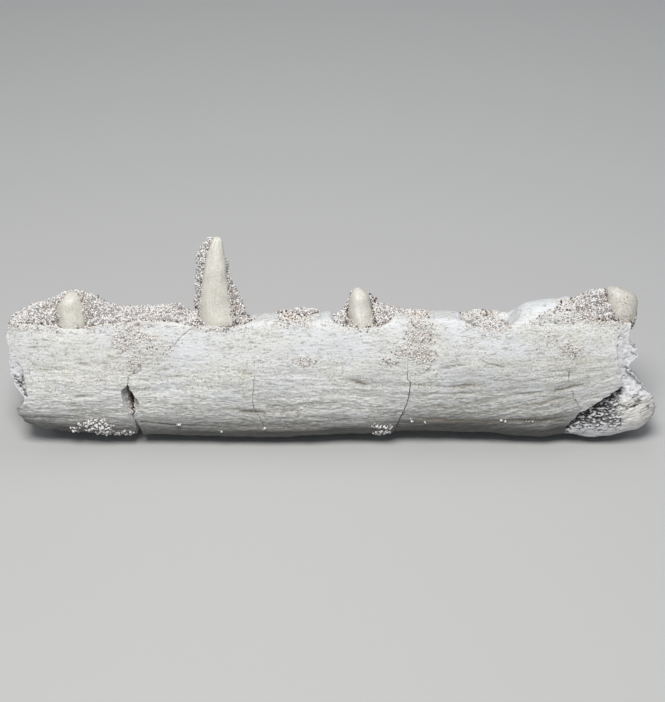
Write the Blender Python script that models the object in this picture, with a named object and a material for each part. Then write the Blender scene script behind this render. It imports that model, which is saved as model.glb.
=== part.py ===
"""Fossil mosasaur jaw section: three fragments of bone, four teeth and the phosphate
sand rock that holds them. The jaw leans back on a flat foot of that rock.

The jaw is laid out in its own plane, in millimetres: x along the jaw, h up its outer
face and t through its thickness, from the outer face inwards. place() tips that plane
back and drops it on the ground."""

import math

import bmesh
import bpy
from mathutils import Matrix, Vector, geometry, noise

MM = 0.001
LEAN = math.radians(20)  # how far the outer face leans back
FOOT_LIFT = 7.6  # from the foot up to the lower edge of the bone, at its outer face
CENTRE_Y = 22.6  # middle of the depth, so that the origin is under the middle
THICKNESS = 22.0  # outer face to inner face of the bone
GROOVE_DEPTH = 7.0  # the trough along the top that the teeth stand in
GROOVE_OUT, GROOVE_IN = 5.0, 18.4  # the trough's two sides
INNER_RIM_DROP = 2.0  # the inner rim is lower than the outer one
STATION_STEP = 4.65  # spacing of the sections along the bone
GAP = 0.34  # clearance between pieces that touch
CRACK = 0.36  # width of the closed part of the cracks
FOOT_FRONT, FOOT_BACK = 13.5, 40.5  # the foot, measured back from the outer face

# Lower edge of the bone and rim of its outer wall: x, h
LOWER_EDGE = [
    (-128, 5.5), (-114, 1.4), (-100, 0.0), (-89, -0.6), (-76, -0.6), (-72, -0.6),
    (-42, -1.7), (-23, -2.1), (-9, -1.7), (7, -0.6), (22, -0.3), (26, 0.4), (43, 0.4),
    (60, -0.1), (76, -1.8), (84, -2.4), (91, -0.6), (103, -2.2), (111, -1.4), (119, 0.8),
    (130, 7.0),
]
RIM = [
    (-128, 42.5), (-122, 45.8), (-108, 45.4), (-103, 44.0), (-94, 44.1), (-88, 45.8),
    (-75, 47.0), (-62, 47.0), (-52, 45.0), (-36, 44.6), (-32, 45.6), (-26, 46.4),
    (-15, 46.0), (-4, 46.2), (1, 46.6), (6, 44.4), (16, 44.2), (21, 45.8),
    (30, 46.8), (43, 47.2), (49, 47.0), (53, 45.6), (58, 43.6), (65, 43.8), (70, 45.4),
    (75, 47.0), (100, 47.4), (113, 46.6), (128, 45.0),
]
# Between the sockets the trough is closed by a bridge of bone: x, share closed
BRIDGE = [
    (-128, 0), (-37, 0), (-31, 1), (1, 1), (5, 0), (17, 0), (23, 1), (45, 1), (52, 0), (66.6, 0),
    (74, 1), (92, 1), (99, 0), (128, 0),
]
# Height of the bridge over the outer rim: x, h
BRIDGE_TOP = [
    (-37, 0.2), (-28, 0.3), (-15, 1.2), (-7, 1.2), (-2, 0.4), (24, 1.2), (31, 0.9), (45, 0.5),
    (66, 1.2), (71, 2.4), (77, 5.0), (86, 5.9), (97, 7.0),
]
INNER_RIM_EXTRA = [
    (-128, 0), (24, -0.4), (31, -0.6), (43, -0.6), (48, 0.6), (53, 3.2), (58, 5.2), (66, 5.6),
    (71, 4.6), (80, 0), (128, 0),
]
# Crest of the sand rock behind the teeth: x, h
CREST = [
    (-124.5, 47.2), (-122, 48.4), (-116, 50.4), (-110, 53.0), (-105, 55.8), (-101, 56.6),
    (-95, 55.4), (-90, 53.2), (-84, 49.9), (-79, 49.9), (-68, 50.2), (-60, 51.2), (-55, 48.0),
    (-50, 47.0), (-44, 49.0), (-38, 49.0), (-33, 46.6), (-27, 45.4), (-21, 48.0),
    (-17, 48.0), (-11, 49.6), (-6, 48.8), (-2, 45.4), (1, 46.4), (5, 48.8), (9, 49.6), (14, 50.4),
    (19, 51.6), (25, 50.2), (31, 48.4), (37, 44.6), (43, 44.0), (46, 35.0), (73, 35.0), (76, 46.0),
    (86, 47.0), (92, 52.4), (98, 55.6), (104, 57.2), (111, 56.0), (116, 50.0),
    (119, 44.0),
]

# Top of the sand left in the empty socket: x, h
SOCKET_SAND = [(44, 40.0), (50, 44.6), (55, 45.6), (67, 45.8), (71, 45.0), (75, 40.0)]

# Outlines of the broken ends and of the cracks, top to bottom: x, h
LEFT_END = [
    (-123.4, 62), (-123.6, 46.8), (-124.6, 43.5), (-125.6, 40.3), (-124.0, 36.3), (-124.6, 31.5),
    (-124.2, 26.7), (-122.6, 21.9), (-119.2, 16.6), (-119.6, 14.3), (-122.6, 11.6),
    (-121.8, 8.9), (-119.4, 6.0), (-113.0, 2.0), (-110.0, -12),
]
CRACK_TOP = [(-73.6, 62), (-73.5, 31.9), (-73.4, 28.1), (-78.5, 25.9), (-78.6, 22.2)]
HOLE_LEFT = [(-81.3, 19.7), (-80.7, 14.0), (-78.0, 8.4)]
HOLE_RIGHT = [(-77.9, 20.2), (-74.6, 14.4), (-77.1, 8.2)]
HOLE_BOTTOM = (-78.9, -78.3, -77.6)  # where its two sides meet
HOLE_DEPTH = 4.5
CRACK_FOOT_LEFT = [(-76.3, 4.6), (-76.7, 0.2), (-76.8, -12)]
CRACK_FOOT_RIGHT = [(-75.4, 4.8), (-74.3, 0.4), (-74.2, -12)]
SECOND_CRACK = [
    (29.5, 62), (29.3, 31.9), (29.3, 24.3), (30.4, 23.6), (30.0, 17.9), (29.1, 14.1),
    (26.4, 7.4), (24.7, 1.8), (24.1, -12),
]
RIGHT_END = [
    (115.6, 62), (115.1, 46.6), (114.2, 42.0), (114.8, 39.5), (117.4, 36.5), (118.0, 33.0),
    (114.3, 30.0), (115.2, 27.4), (119.9, 22.6), (124.2, 17.4), (126.8, 12.0), (125.4, 6.6),
    (120.6, 1.6), (112.0, -1.2), (110.0, -12),
]
# The outer wall of the bone stops at this line, and the inside shows beyond it
WALL_BREAK = [
    (115.1, 60), (115.1, 48.3), (109.6, 41.0), (109.6, 34.5), (110.9, 27.5), (112.6, 21.9),
    (110.0, 19.8), (96.8, 10.3), (92.1, 4.2), (91.4, -10), (135.0, -10), (135.0, 60),
]
WALL_THICKNESS = 3.4

# Holes for nerves and vessels in the outer face: x, h, half length, half height, slope
NERVE_HOLES = [
    (-16.7, 23.4, 3.2, 1.0, -0.1), (11.3, 22.2, 3.4, 1.2, -0.26), (47.6, 29.4, 4.6, 1.3, 0.22),
    (62.6, 29.4, 3.4, 0.9, -0.22), (50.0, 21.4, 5.4, 1.2, 0.04), (93.3, 21.4, 4.4, 1.2, 0.2),
    (-33.1, 26.2, 1.8, 1.2, -0.3), (-95.6, 17.4, 3.0, 1.2, 0.08),
]
HOLE_SINK = 2.2

# Crowns, root to tip: h, x, t, half width, half depth
TALL_TOOTH = [
    (40.2, -43.4, 11.4, 7.3, 5.9), (47.0, -43.9, 11.4, 7.0, 5.8), (51.0, -44.4, 11.3, 6.4, 5.5),
    (54.8, -44.8, 11.3, 5.8, 5.1), (60.4, -44.9, 11.5, 5.0, 4.4), (65.8, -44.7, 12.0, 4.3, 3.8),
    (71.3, -44.5, 12.7, 3.25, 2.9), (75.0, -44.1, 13.1, 2.2, 2.0), (76.7, -43.9, 13.4, 1.6, 1.4),
    (77.6, -43.9, 13.6, 0.8, 0.7),
]
SHORT_TOOTH = [
    (40.2, 11.8, 11.4, 5.8, 5.6), (43.6, 11.7, 11.4, 5.5, 5.4), (49.1, 11.2, 11.4, 4.9, 4.9),
    (54.8, 11.0, 11.6, 4.1, 4.2), (56.7, 10.7, 11.9, 3.0, 3.1), (57.6, 10.6, 12.1, 1.7, 2.0),
    (57.9, 10.6, 12.2, 0.8, 0.9),
]
LEFT_STUB = [
    (40.2, -100.1, 11.4, 5.3, 5.4), (44.5, -100.4, 11.4, 5.3, 5.5), (49.2, -100.9, 11.3, 5.1, 5.3),
    (52.0, -100.6, 11.2, 4.7, 4.9), (54.0, -100.2, 11.3, 4.0, 4.1), (55.3, -100.0, 11.5, 2.8, 3.0),
    (56.0, -100.0, 11.6, 1.5, 1.7), (56.2, -100.0, 11.6, 0.7, 0.8),
]
RIGHT_STUB = [
    (42.0, 111.0, 11.6, 4.4, 4.4), (45.4, 111.8, 11.6, 5.6, 5.2), (49.0, 112.4, 11.6, 6.0, 5.3),
    (52.6, 112.4, 11.6, 5.9, 5.2), (55.4, 111.3, 11.7, 5.1, 4.5), (57.4, 109.7, 11.9, 3.2, 3.2),
    (58.2, 109.2, 12.1, 1.4, 1.6),
]
TOOTH_SIDES = 18
WEAR = 0.08  # how uneven the crowns are, as a share of their width
# Sand rock that stays on the back and sides of the tall crown: h, x, t, half width, half depth
TALL_SHEATH = [
    (42.0, -43.4, 16.0, 9.7, 6.0), (47.4, -43.4, 15.6, 10.0, 5.4), (53.0, -44.4, 15.2, 8.3, 4.8),
    (57.0, -45.4, 15.0, 7.2, 4.5), (63.0, -45.8, 15.0, 6.2, 4.1), (69.0, -46.2, 15.0, 5.1, 3.7),
    (73.0, -46.5, 15.2, 3.8, 3.2), (75.6, -46.5, 15.4, 2.5, 2.4), (76.9, -46.4, 15.5, 1.3, 1.4),
]
SHORT_SHEATH = [
    (42.0, 11.0, 16.4, 8.5, 6.0), (48.0, 11.4, 16.2, 7.6, 5.4), (52.0, 11.6, 16.2, 5.9, 4.6),
    (54.6, 11.2, 16.4, 3.6, 3.0), (55.6, 11.0, 16.6, 1.8, 1.6),
]


def along(table, x):
    """Height at x from a table of points, eased between them."""
    if x <= table[0][0]:
        return table[0][1]
    for (x0, h0), (x1, h1) in zip(table, table[1:]):
        if x <= x1:
            s = (x - x0) / (x1 - x0)
            return h0 + (h1 - h0) * s * s * (3 - 2 * s)
    return table[-1][1]


def lumps(x, h, t, size, depth):
    return depth * noise.noise(Vector((x, h * 1.3, t)) / size)


def place(x, h, t):
    y = h * math.sin(LEAN) + t * math.cos(LEAN) - CENTRE_Y
    z = h * math.cos(LEAN) - t * math.sin(LEAN) + FOOT_LIFT
    return Vector((x, y, z)) * MM


def bone_section(x, grow=0.0, set_back=0.0):
    """Closed ring of (h, t) across the bone at x, counted from the lower edge up the outer face."""
    low, rim = along(LOWER_EDGE, x), along(RIM, x)
    deep = rim - low
    inner = rim - INNER_RIM_DROP + along(INNER_RIM_EXTRA, x)
    floor = rim - GROOVE_DEPTH
    end = max(0.0, (abs(x - 1.0) - 117.0) / 11.0)
    curl = 2.2 * end * end
    ring = []
    # outer face: share of the height, thickness
    for q, t in (
        (0.000, 8.0), (0.012, 5.6), (0.05, 3.6), (0.10, 2.3), (0.17, 1.3), (0.25, 0.6),
        (0.34, 0.15), (0.44, 0.0), (0.54, 0.1), (0.64, 0.35), (0.74, 0.7), (0.83, 1.15),
        (0.91, 1.7), (0.965, 2.3),
    ):
        h = low + deep * q
        swell = lumps(x, h, 0, 26, 0.9) + lumps(x, h, 40, 9, 0.35)
        ring.append((h, t + curl + swell * min(1.0, 4 * q) + set_back * (1 - q)))
    shut, top = along(BRIDGE, x), along(BRIDGE_TOP, x)
    ring.append((rim, 3.1))
    # the trough's wall and floor, the height of the bridge over the rim, thickness
    for open_h, shut_h, t in (
        (rim - 0.1, 0.26 * top + 0.3, 4.1), (rim - 1.4, 0.45 * top + 0.3, GROOVE_OUT),
        (floor + 1.5, 0.52 * top + 0.3, GROOVE_OUT + 0.5), (floor, 0.86 * top, 8.0),
        (floor, top, 14.0), (floor + 1.5, 0.9 * top - 0.5, GROOVE_IN - 0.5),
        (inner - 1.2, 0.84 * top - 0.7, GROOVE_IN), (inner, 0.7 * top - 1.1, GROOVE_IN + 1.1),
        (inner - 0.2, 0.5 * top - 1.8, THICKNESS - 1.2), (inner - 2.0, 0.3 * top - 3.4, THICKNESS),
    ):
        ring.append((open_h * (1 - shut) + (rim + shut_h) * shut, t))
    ring += [(low + deep * 0.55, THICKNESS + 0.4), (low + deep * 0.2, THICKNESS - 1.5)]
    ring += [(low + 1.6, THICKNESS - 4.5), (low + 0.2, THICKNESS - 8.0)]
    if not grow:
        return ring
    grown = []
    for i, (h, t) in enumerate(ring):
        (h0, t0), (h1, t1) = ring[i - 1], ring[(i + 1) % len(ring)]
        dh, dt = h1 - h0, t1 - t0
        size = math.hypot(dh, dt)
        grown.append((h + grow * dt / size, t - grow * dh / size))
    return grown


def loft(name, rings, mesh_of=None):
    """Solid through a row of rings with the same count of points, each end filled flat."""
    build = bmesh.new()
    rows = [[build.verts.new(point) for point in ring] for ring in rings]
    count = len(rows[0])
    for one, two in zip(rows, rows[1:]):
        for i in range(count):
            j = (i + 1) % count
            # two triangles, so that a piece and its clearance fold along the same lines
            build.faces.new((one[i], one[j], two[j]))
            build.faces.new((one[i], two[j], two[i]))
    for row in (rows[0], rows[-1]):
        for a, b, c in geometry.tessellate_polygon([[v.co for v in row]]):
            build.faces.new((row[a], row[b], row[c]))
    bmesh.ops.recalc_face_normals(build, faces=build.faces)
    mesh = bpy.data.meshes.new(name)
    build.to_mesh(mesh)
    build.free()
    return bpy.data.objects.new(name, mesh)


def bone(name, first, last, grow=0.0, set_back=0.0):
    rings = []
    for x in stations(first, last):
        rings.append([place(x, h, t) for h, t in bone_section(x, grow, set_back)])
    return loft(name, rings)


def block(name, left, right, levels):
    """Prism between two outlines. levels holds (t, how far the hole in the crack is open)."""
    rings = []
    for t, open_share in levels:
        edge_left = [(x + shift * open_share, h) for x, h, shift in left]
        edge_right = [(x + shift * open_share, h) for x, h, shift in right]
        rings.append([place(x, h, t) for x, h in edge_left + edge_right[::-1]])
    return loft(name, rings)


def crown(name, sections, grow=0.0, wear=0.0, sides=TOOTH_SIDES):
    rings = []
    for h, x, t, wide, thick in sections:
        ring = []
        for i in range(sides):
            angle = 2 * math.pi * i / sides
            facet = 1 + wear * noise.noise(Vector((math.cos(angle), math.sin(angle), h * 0.12)) * 1.7)
            ring.append(
                place(
                    x + (wide * facet + grow) * math.cos(angle),
                    h + (grow if (h, x) == sections[-1][:2] else 0),
                    t + (thick * facet + grow) * math.sin(angle),
                )
            )
        rings.append(ring)
    return loft(name, rings)


def rock(name, stations):
    """Body of the sand rock: over the top of the bone, down its back and out to the flat foot."""
    rings = []
    for x in stations:
        crest, rim = along(CREST, x), along(RIM, x)
        step = min(1.0, max(0.0, (abs(x + 2.0) - 100.0) / 14.0))
        back = FOOT_BACK - 3.5 * step * step
        rough = [lumps(x, 30 * i, 90, 11, 1.5) for i in range(12)]
        sunk = crest - 0.5 if crest < rim - 5 else rim + 60  # where only the back of the jaw is covered
        top = [
            place(x, min(rim - 9.0, sunk - 2.0), GROOVE_OUT - 1.2),
            place(x, min(rim - 0.1, sunk - 1.0), GROOVE_OUT - 0.5),
            place(x, min(rim + max(0.3, 0.5 * (crest - rim)), sunk), 8.0 + rough[0] * 0.4),
            place(x, crest - 0.9 + rough[1] * 0.2, 10.8),
            place(x, crest, 13.4),
            place(x, crest - 0.9 + rough[2] * 0.3, 17.4),
            place(x, crest - 4.2 + rough[3] * 0.4, 21.6 + rough[4] * 0.3),
        ]
        foot_z, skirt = 0.0, 2.6
        lift = 6.0 * step
        behind = [
            (back - 2.0 + rough[5], 31.0), (back - 0.6 + rough[6], 22.0), (back - 0.2 + rough[7], 13.0),
            (back, 6.0), (back - 0.7, skirt), (back - 2.0, foot_z + (lift if step > 0.2 else 0)),
            (FOOT_FRONT + 2.0 + 9 * step, foot_z + (lift if step > 0.2 else 0)),
            (FOOT_FRONT + 0.8 + 9 * step, skirt + (4.2 if step > 0.2 else 0)),
            (FOOT_FRONT + 2.5 + 9 * step, 7.0 + 3 * step), (26.0, 20.0),
        ]
        ring = top + [Vector((x, y - CENTRE_Y, max(z, foot_z))) * MM for y, z in behind]
        rings.append(ring)
    return loft(name, rings)


def socket_sand(name, first, last):
    """Sand in the trough between two bridges of bone."""
    rings = []
    for x in spread(first, last, 9):
        top, rim = along(SOCKET_SAND, x), along(RIM, x)
        front = min(rim - 0.2, top)
        ring = [(rim - 10, 4.0), (front, 4.4), ((front + top) / 2 + 0.4, 8.0), (top, 13.0)]
        ring += [(top + 0.2, 17.0), (top - 0.4, 19.6), (rim - 10, 20.0)]
        rings.append([place(x, h, t) for h, t in ring])
    return loft(name, rings)


def spread(first, last, count):
    return [first + (last - first) * i / (count - 1) for i in range(count)]


def stations(first, last):
    """The bone's stations that reach from first to last, the same ones for every piece."""
    across = [STATION_STEP * i for i in range(-28, 29)]
    return [x for x in across if first - STATION_STEP < x < last + STATION_STEP]


def material(name, rgb, roughness):
    made = bpy.data.materials.new(name)
    made.use_nodes = True
    shader = made.node_tree.nodes["Principled BSDF"]
    shader.inputs["Base Color"].default_value = (*rgb, 1)
    shader.inputs["Roughness"].default_value = roughness
    shader.inputs["Metallic"].default_value = 0
    return made


def cut(target, other, operation, solver="EXACT"):
    modifier = target.modifiers.new(operation.title(), "BOOLEAN")
    modifier.operation = operation
    modifier.solver = solver
    modifier.object = other


for old in list(bpy.data.objects):
    bpy.data.objects.remove(old, do_unlink=True)

jaw = bpy.data.collections.new("fossil_mosasaur_jaw")
cutters = bpy.data.collections.new("cutters")
for group in (jaw, cutters):
    bpy.context.scene.collection.children.link(group)


def keep(piece, skin):
    piece.data.materials.append(skin)
    jaw.objects.link(piece)
    return piece


def hide(piece):
    piece.hide_render = True
    piece.display_type = "WIRE"
    cutters.objects.link(piece)
    return piece


# cutters: the blocks that part the fragments, the broken wall and the nerve holes
half = CRACK / 2
left_of_crack = [(x - half, h, 0.0) for x, h in CRACK_TOP]
left_of_crack += [(xr - half, hl, xl - xr) for (xl, hl), xr in zip(HOLE_LEFT, HOLE_BOTTOM)]
left_of_crack += [(x - half, h, 0.0) for x, h in CRACK_FOOT_LEFT]
right_of_crack = [(x + half, h, 0.0) for x, h in CRACK_TOP]
right_of_crack += [(xl + half, hr, xr - xl) for (xr, hr), xl in zip(HOLE_RIGHT, HOLE_BOTTOM)]
right_of_crack += [(x + half, h, 0.0) for x, h in CRACK_FOOT_RIGHT]
second_left = [(x - half, h, 0.0) for x, h in SECOND_CRACK]
second_right = [(x + half, h, 0.0) for x, h in SECOND_CRACK]
left_end = [(x, h, 0.0) for x, h in LEFT_END]
right_end = [(x, h, 0.0) for x, h in RIGHT_END]
LEVELS = [(-12, 1.0), (1.5, 1.0), (HOLE_DEPTH, 0.1), (40, 0.0)]

left_block = hide(block("left_block", left_end, left_of_crack, LEVELS))
middle_block = hide(block("middle_block", right_of_crack, second_left, LEVELS))
right_block = hide(block("right_block", second_right, right_end, LEVELS))
wall_cut = hide(
    loft(
        "wall_cut",
        [
            [place(x, h, -12) for x, h in WALL_BREAK],
            [place(x, h, WALL_THICKNESS) for x, h in WALL_BREAK],
        ],
    )
)

nerve_holes = bmesh.new()
for x, h, long, high, slope in NERVE_HOLES:
    turn = Matrix.Rotation(LEAN, 4, "X") @ Matrix.Rotation(-slope, 4, "Y")
    size = Matrix.Diagonal((long * MM, HOLE_SINK * MM, high * MM, 1))
    bmesh.ops.create_icosphere(
        nerve_holes, subdivisions=1, radius=1, matrix=Matrix.Translation(place(x, h, 0.2)) @ turn @ size
    )
nerve_mesh = bpy.data.meshes.new("nerve_holes")
nerve_holes.to_mesh(nerve_mesh)
nerve_holes.free()
hide(bpy.data.objects.new("nerve_holes", nerve_mesh))

# bone fragments
bone_skin = material("bone", (0.62, 0.60, 0.54), 0.62)
tooth_skin = material("tooth", (0.56, 0.53, 0.44), 0.38)
sand_skin = material("sand_rock", (0.52, 0.48, 0.42), 0.92)

for name, first, last, set_back, blocks in (
    ("jaw_bone_left", -126, -71, 0.0, left_block),
    ("jaw_bone_middle", -80, 32, 0.0, middle_block),
    ("jaw_bone_right", 21, 126, 0.7, right_block),
):
    piece = keep(bone(name, first, last, set_back=set_back), bone_skin)
    cut(piece, blocks, "INTERSECT")
    cut(piece, bpy.data.objects["nerve_holes"], "DIFFERENCE")
    if name == "jaw_bone_right":
        cut(piece, wall_cut, "DIFFERENCE")

# teeth
for name, sections in (
    ("tooth_left_stub", LEFT_STUB), ("tooth_tall", TALL_TOOTH),
    ("tooth_short", SHORT_TOOTH), ("tooth_right_stub", RIGHT_STUB),
):
    keep(crown(name, sections, wear=WEAR), tooth_skin)

# sand rock, less the bone and the teeth with their clearance
sand = keep(rock("sand_matrix", spread(-124.0, 115.6, 46)), sand_skin)
for name, sections in (("tall_sheath", TALL_SHEATH), ("short_sheath", SHORT_SHEATH)):
    cut(sand, hide(crown(name, sections, wear=0.25, sides=12)), "UNION", "MANIFOLD")
bone_space = hide(bone("bone_space", -130, 130, grow=GAP))
cut(sand, bone_space, "DIFFERENCE", "MANIFOLD")
plug = keep(socket_sand("sand_socket_fill", 46.5, 72.5), sand_skin)
cut(plug, bone_space, "DIFFERENCE", "MANIFOLD")
for name, sections in (
    ("left_stub_space", LEFT_STUB), ("tall_space", TALL_TOOTH),
    ("short_space", SHORT_TOOTH), ("right_stub_space", RIGHT_STUB),
):
    cut(sand, hide(crown(name, sections, grow=GAP, wear=WEAR)), "DIFFERENCE", "MANIFOLD")
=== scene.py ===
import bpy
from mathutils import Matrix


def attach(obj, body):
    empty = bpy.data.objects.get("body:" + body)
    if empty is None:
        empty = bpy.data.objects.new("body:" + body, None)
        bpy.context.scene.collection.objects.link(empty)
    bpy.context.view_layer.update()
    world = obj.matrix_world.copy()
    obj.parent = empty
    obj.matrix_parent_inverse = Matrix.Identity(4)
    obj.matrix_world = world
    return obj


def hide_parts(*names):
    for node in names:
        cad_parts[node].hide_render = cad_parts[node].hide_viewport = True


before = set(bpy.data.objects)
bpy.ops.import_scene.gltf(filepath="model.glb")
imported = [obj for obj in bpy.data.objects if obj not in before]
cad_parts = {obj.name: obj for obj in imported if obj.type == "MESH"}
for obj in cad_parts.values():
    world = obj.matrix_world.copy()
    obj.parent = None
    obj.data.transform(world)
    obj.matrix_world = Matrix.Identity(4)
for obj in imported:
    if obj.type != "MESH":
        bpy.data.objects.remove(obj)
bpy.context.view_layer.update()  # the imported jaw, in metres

import math
from functools import partial

import bmesh
import bpy
import numpy as np
from mathutils import Vector, noise

mm = 0.001


def addObject(name, data):
    made = bpy.data.objects.new(name, data)
    bpy.context.scene.collection.objects.link(made)
    return made


# Camera, floor and light

studio = {
    "lensLength": 75.0,  # mm
    "sensorWidth": 36.0,
    "cameraPlace": (0.000383, -0.43409, 0.36067),
    "lookDown": 37.0,  # degrees below level
    "floorSize": 8.0,
    "floorTone": (0.50, 0.50, 0.495),
    "skyTone": (0.86, 0.92, 1.0),
    "skyStrength": 0.26,
    "lampAim": (0, 0, 0.03),
    # name, place, size, power, colour
    "lamps": (
        ("softKey", (-0.08, -0.30, 0.85), 0.40, 7.4, (1.0, 0.985, 0.955)),
        ("softTop", (0.15, 0.30, 0.70), 0.5, 0.55, (0.90, 0.95, 1.0)),
    ),
}


def makeStudio():
    scene = bpy.context.scene
    lens = bpy.data.cameras.new("camera")
    lens.lens, lens.sensor_width, lens.sensor_fit = studio["lensLength"], studio["sensorWidth"], "HORIZONTAL"
    camera = addObject("camera", lens)
    camera.location = studio["cameraPlace"]
    camera.rotation_euler = (math.pi / 2 - math.radians(studio["lookDown"]), 0, 0)
    scene.camera = camera

    half = studio["floorSize"] / 2
    sheet = bpy.data.meshes.new("floor")
    corners = [(-half, -half, 0), (half, -half, 0), (half, half, 0), (-half, half, 0)]
    sheet.from_pydata(corners, [], [(0, 1, 2, 3)])
    floor = addObject("floor", sheet)
    paper = bpy.data.materials.new("floorPaper")
    paper.use_nodes = True
    shader = paper.node_tree.nodes["Principled BSDF"]
    shader.inputs["Base Color"].default_value = (*studio["floorTone"], 1)
    shader.inputs["Roughness"].default_value = 0.9
    sheet.materials.append(paper)

    for name, place, size, power, colour in studio["lamps"]:
        lamp = bpy.data.lights.new(name, "AREA")
        lamp.shape, lamp.size, lamp.energy, lamp.color = "DISK", size, power, colour
        holder = addObject(name, lamp)
        holder.location = place
        toAim = Vector(studio["lampAim"]) - Vector(place)
        holder.rotation_euler = toAim.to_track_quat("-Z", "Y").to_euler()
    world = bpy.data.worlds.new("studio")
    world.use_nodes = True
    sky = world.node_tree.nodes["Background"]
    sky.inputs["Color"].default_value = (*studio["skyTone"], 1)
    sky.inputs["Strength"].default_value = studio["skyStrength"]
    scene.world = world
    scene.view_settings.view_transform = "Standard"


makeStudio()
print("studio ready")

# The jaw's own plane, in mm: x along the jaw, h up its outer face, t through its thickness

jaw = {
    "lean": 20.0,  # degrees that the outer face leans back
    "footLift": 7.6,
    "centreY": 22.6,
    "thickness": 22.0,
    "grooveDepth": 7.0,
    "grooveOut": 5.0,
    "grooveIn": 18.4,
    "innerRimDrop": 2.0,
    "stationStep": 4.65,
    "stations": 29,  # on each side of the middle one
    # the outer face turns back at both ends: middle x, from how far out, over how far, how deep
    "turnBack": (1.0, 117.0, 11.0, 2.2),
    # broad swells of the outer face: height, size, place in the noise
    "swells": ((0.9, 26, 0), (0.35, 9, 40)),
    "lowerEdge": (
        (-128, 5.5), (-114, 1.4), (-100, 0), (-89, -0.6), (-76, -0.6), (-72, -0.6), (-42, -1.7),
        (-23, -2.1), (-9, -1.7), (7, -0.6), (22, -0.3), (26, 0.4), (43, 0.4), (60, -0.1), (76, -1.8),
        (84, -2.4), (91, -0.6), (103, -2.2), (111, -1.4), (119, 0.8), (130, 7),
    ),
    "rim": (
        (-128, 42.5), (-122, 45.8), (-108, 45.4), (-103, 44), (-94, 44.1), (-88, 45.8), (-75, 47),
        (-62, 47), (-52, 45), (-36, 44.6), (-32, 45.6), (-26, 46.4), (-15, 46), (-4, 46.2), (1, 46.6),
        (6, 44.4), (16, 44.2), (21, 45.8), (30, 46.8), (43, 47.2), (49, 47), (53, 45.6), (58, 43.6),
        (65, 43.8), (70, 45.4), (75, 47), (100, 47.4), (113, 46.6), (128, 45),
    ),
    "bridge": (
        (-128, 0), (-37, 0), (-31, 1), (1, 1), (5, 0), (17, 0), (23, 1), (50, 1), (54.5, 0), (61.5, 0),
        (66.5, 0.2), (71.5, 0.92), (77, 1), (92, 1), (101, 0), (128, 0),
    ),
    "bridgeTop": (
        (-37, 0.2), (-28, 0.3), (-15, 1.2), (-7, 1.2), (-2, 0.4), (24, 1.2), (31, 0.9), (45, 0.5),
        (66, 1.2), (71, 2.4), (77, 5), (86, 5.9), (97, 7),
    ),
    "innerRimExtra": (
        (-128, 0), (24, -0.4), (31, -0.6), (43, -0.6), (48, 0.6), (53, 3.2), (58, 5.2), (66, 5.6),
        (71, 4.6), (80, 0), (128, 0),
    ),
    # outer face, from the lower edge up: share of the height, t
    "faceCurve": (
        (0, 8), (0.012, 5.6), (0.05, 3.6), (0.1, 2.3), (0.17, 1.3), (0.25, 0.6), (0.34, 0.15), (0.44, 0),
        (0.54, 0.1), (0.64, 0.35), (0.74, 0.7), (0.83, 1.15), (0.91, 1.7), (0.965, 2.3),
    ),
}


def standUp(x, h, t):
    lean = math.radians(jaw["lean"])
    y = h * math.sin(lean) + t * math.cos(lean) - jaw["centreY"]
    z = h * math.cos(lean) - t * math.sin(lean) + jaw["footLift"]
    return np.stack([x + 0 * y, y, z], -1) * mm


def layBack(points):
    lean = math.radians(jaw["lean"])
    x, y, z = (points / mm).T
    y, z = y + jaw["centreY"], z - jaw["footLift"]
    return x, y * math.sin(lean) + z * math.cos(lean), y * math.cos(lean) - z * math.sin(lean)


def easedAlong(table, x):
    xs, values = np.array(table, float).T
    x = np.clip(x, xs[0], xs[-1])
    i = np.clip(np.searchsorted(xs, x, side="right") - 1, 0, len(xs) - 2)
    s = (x - xs[i]) / (xs[i + 1] - xs[i])
    return values[i] + (values[i + 1] - values[i]) * s * s * (3 - 2 * s)


def smoothStep(value, low, high):
    s = np.clip((value - low) / (high - low), 0, 1)
    return s * s * (3 - 2 * s)


def bell(value, centre, width, power=2):
    return np.exp(-((value - centre) / width) ** power)


def roundThrough(a, b, c, d, f):
    # a round curve from b to c, with a before and d after; f runs from 0 to 1
    return b + 0.5 * f * (c - a + f * (2 * a - 5 * b + 4 * c - d + f * (3 * (b - c) + d - a)))


def linear(table, value):
    return np.interp(value, *zip(*table))


def outlineAt(table, h):
    xs, hs = np.array(table, float).T
    order = np.argsort(hs)
    return np.interp(h, hs[order], xs[order])


# Noise that works on whole arrays of points

directionCount = 4096
pulls = np.random.default_rng(11).normal(size=(directionCount, 3))
pulls /= np.linalg.norm(pulls, axis=1, keepdims=True)
seedSpots = np.random.default_rng(12).random((directionCount, 3))


def cellKey(cell):
    mixed = cell[..., 0] * 73856093 ^ cell[..., 1] * 19349663 ^ cell[..., 2] * 83492791
    mixed = (mixed ^ mixed >> 15) * 2246822519 & 0xFFFFFFFF
    return (mixed ^ mixed >> 13) & directionCount - 1


def softNoise(x, h, t, size, seed=0):
    points = np.stack(np.broadcast_arrays(x, h, t), -1) / np.array(size, float) + seed * 19.7
    cell = np.floor(points).astype(np.int64)
    part = points - cell
    ease = part ** 3 * (part * (part * 6 - 15) + 10)
    total = np.zeros(part.shape[:-1])
    for corner in range(8):
        step = np.array([corner >> 2 & 1, corner >> 1 & 1, corner & 1])
        weight = np.prod(np.where(step, ease, 1 - ease), -1)
        total += weight * ((part - step) * pulls[cellKey(cell + step)]).sum(-1)
    return total * 1.7


def noiseSum(x, h, t, bands):
    # each band: strength, size in mm, seed
    return sum(strength * softNoise(x, h, t, size, seed) for strength, size, seed in bands)


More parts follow.
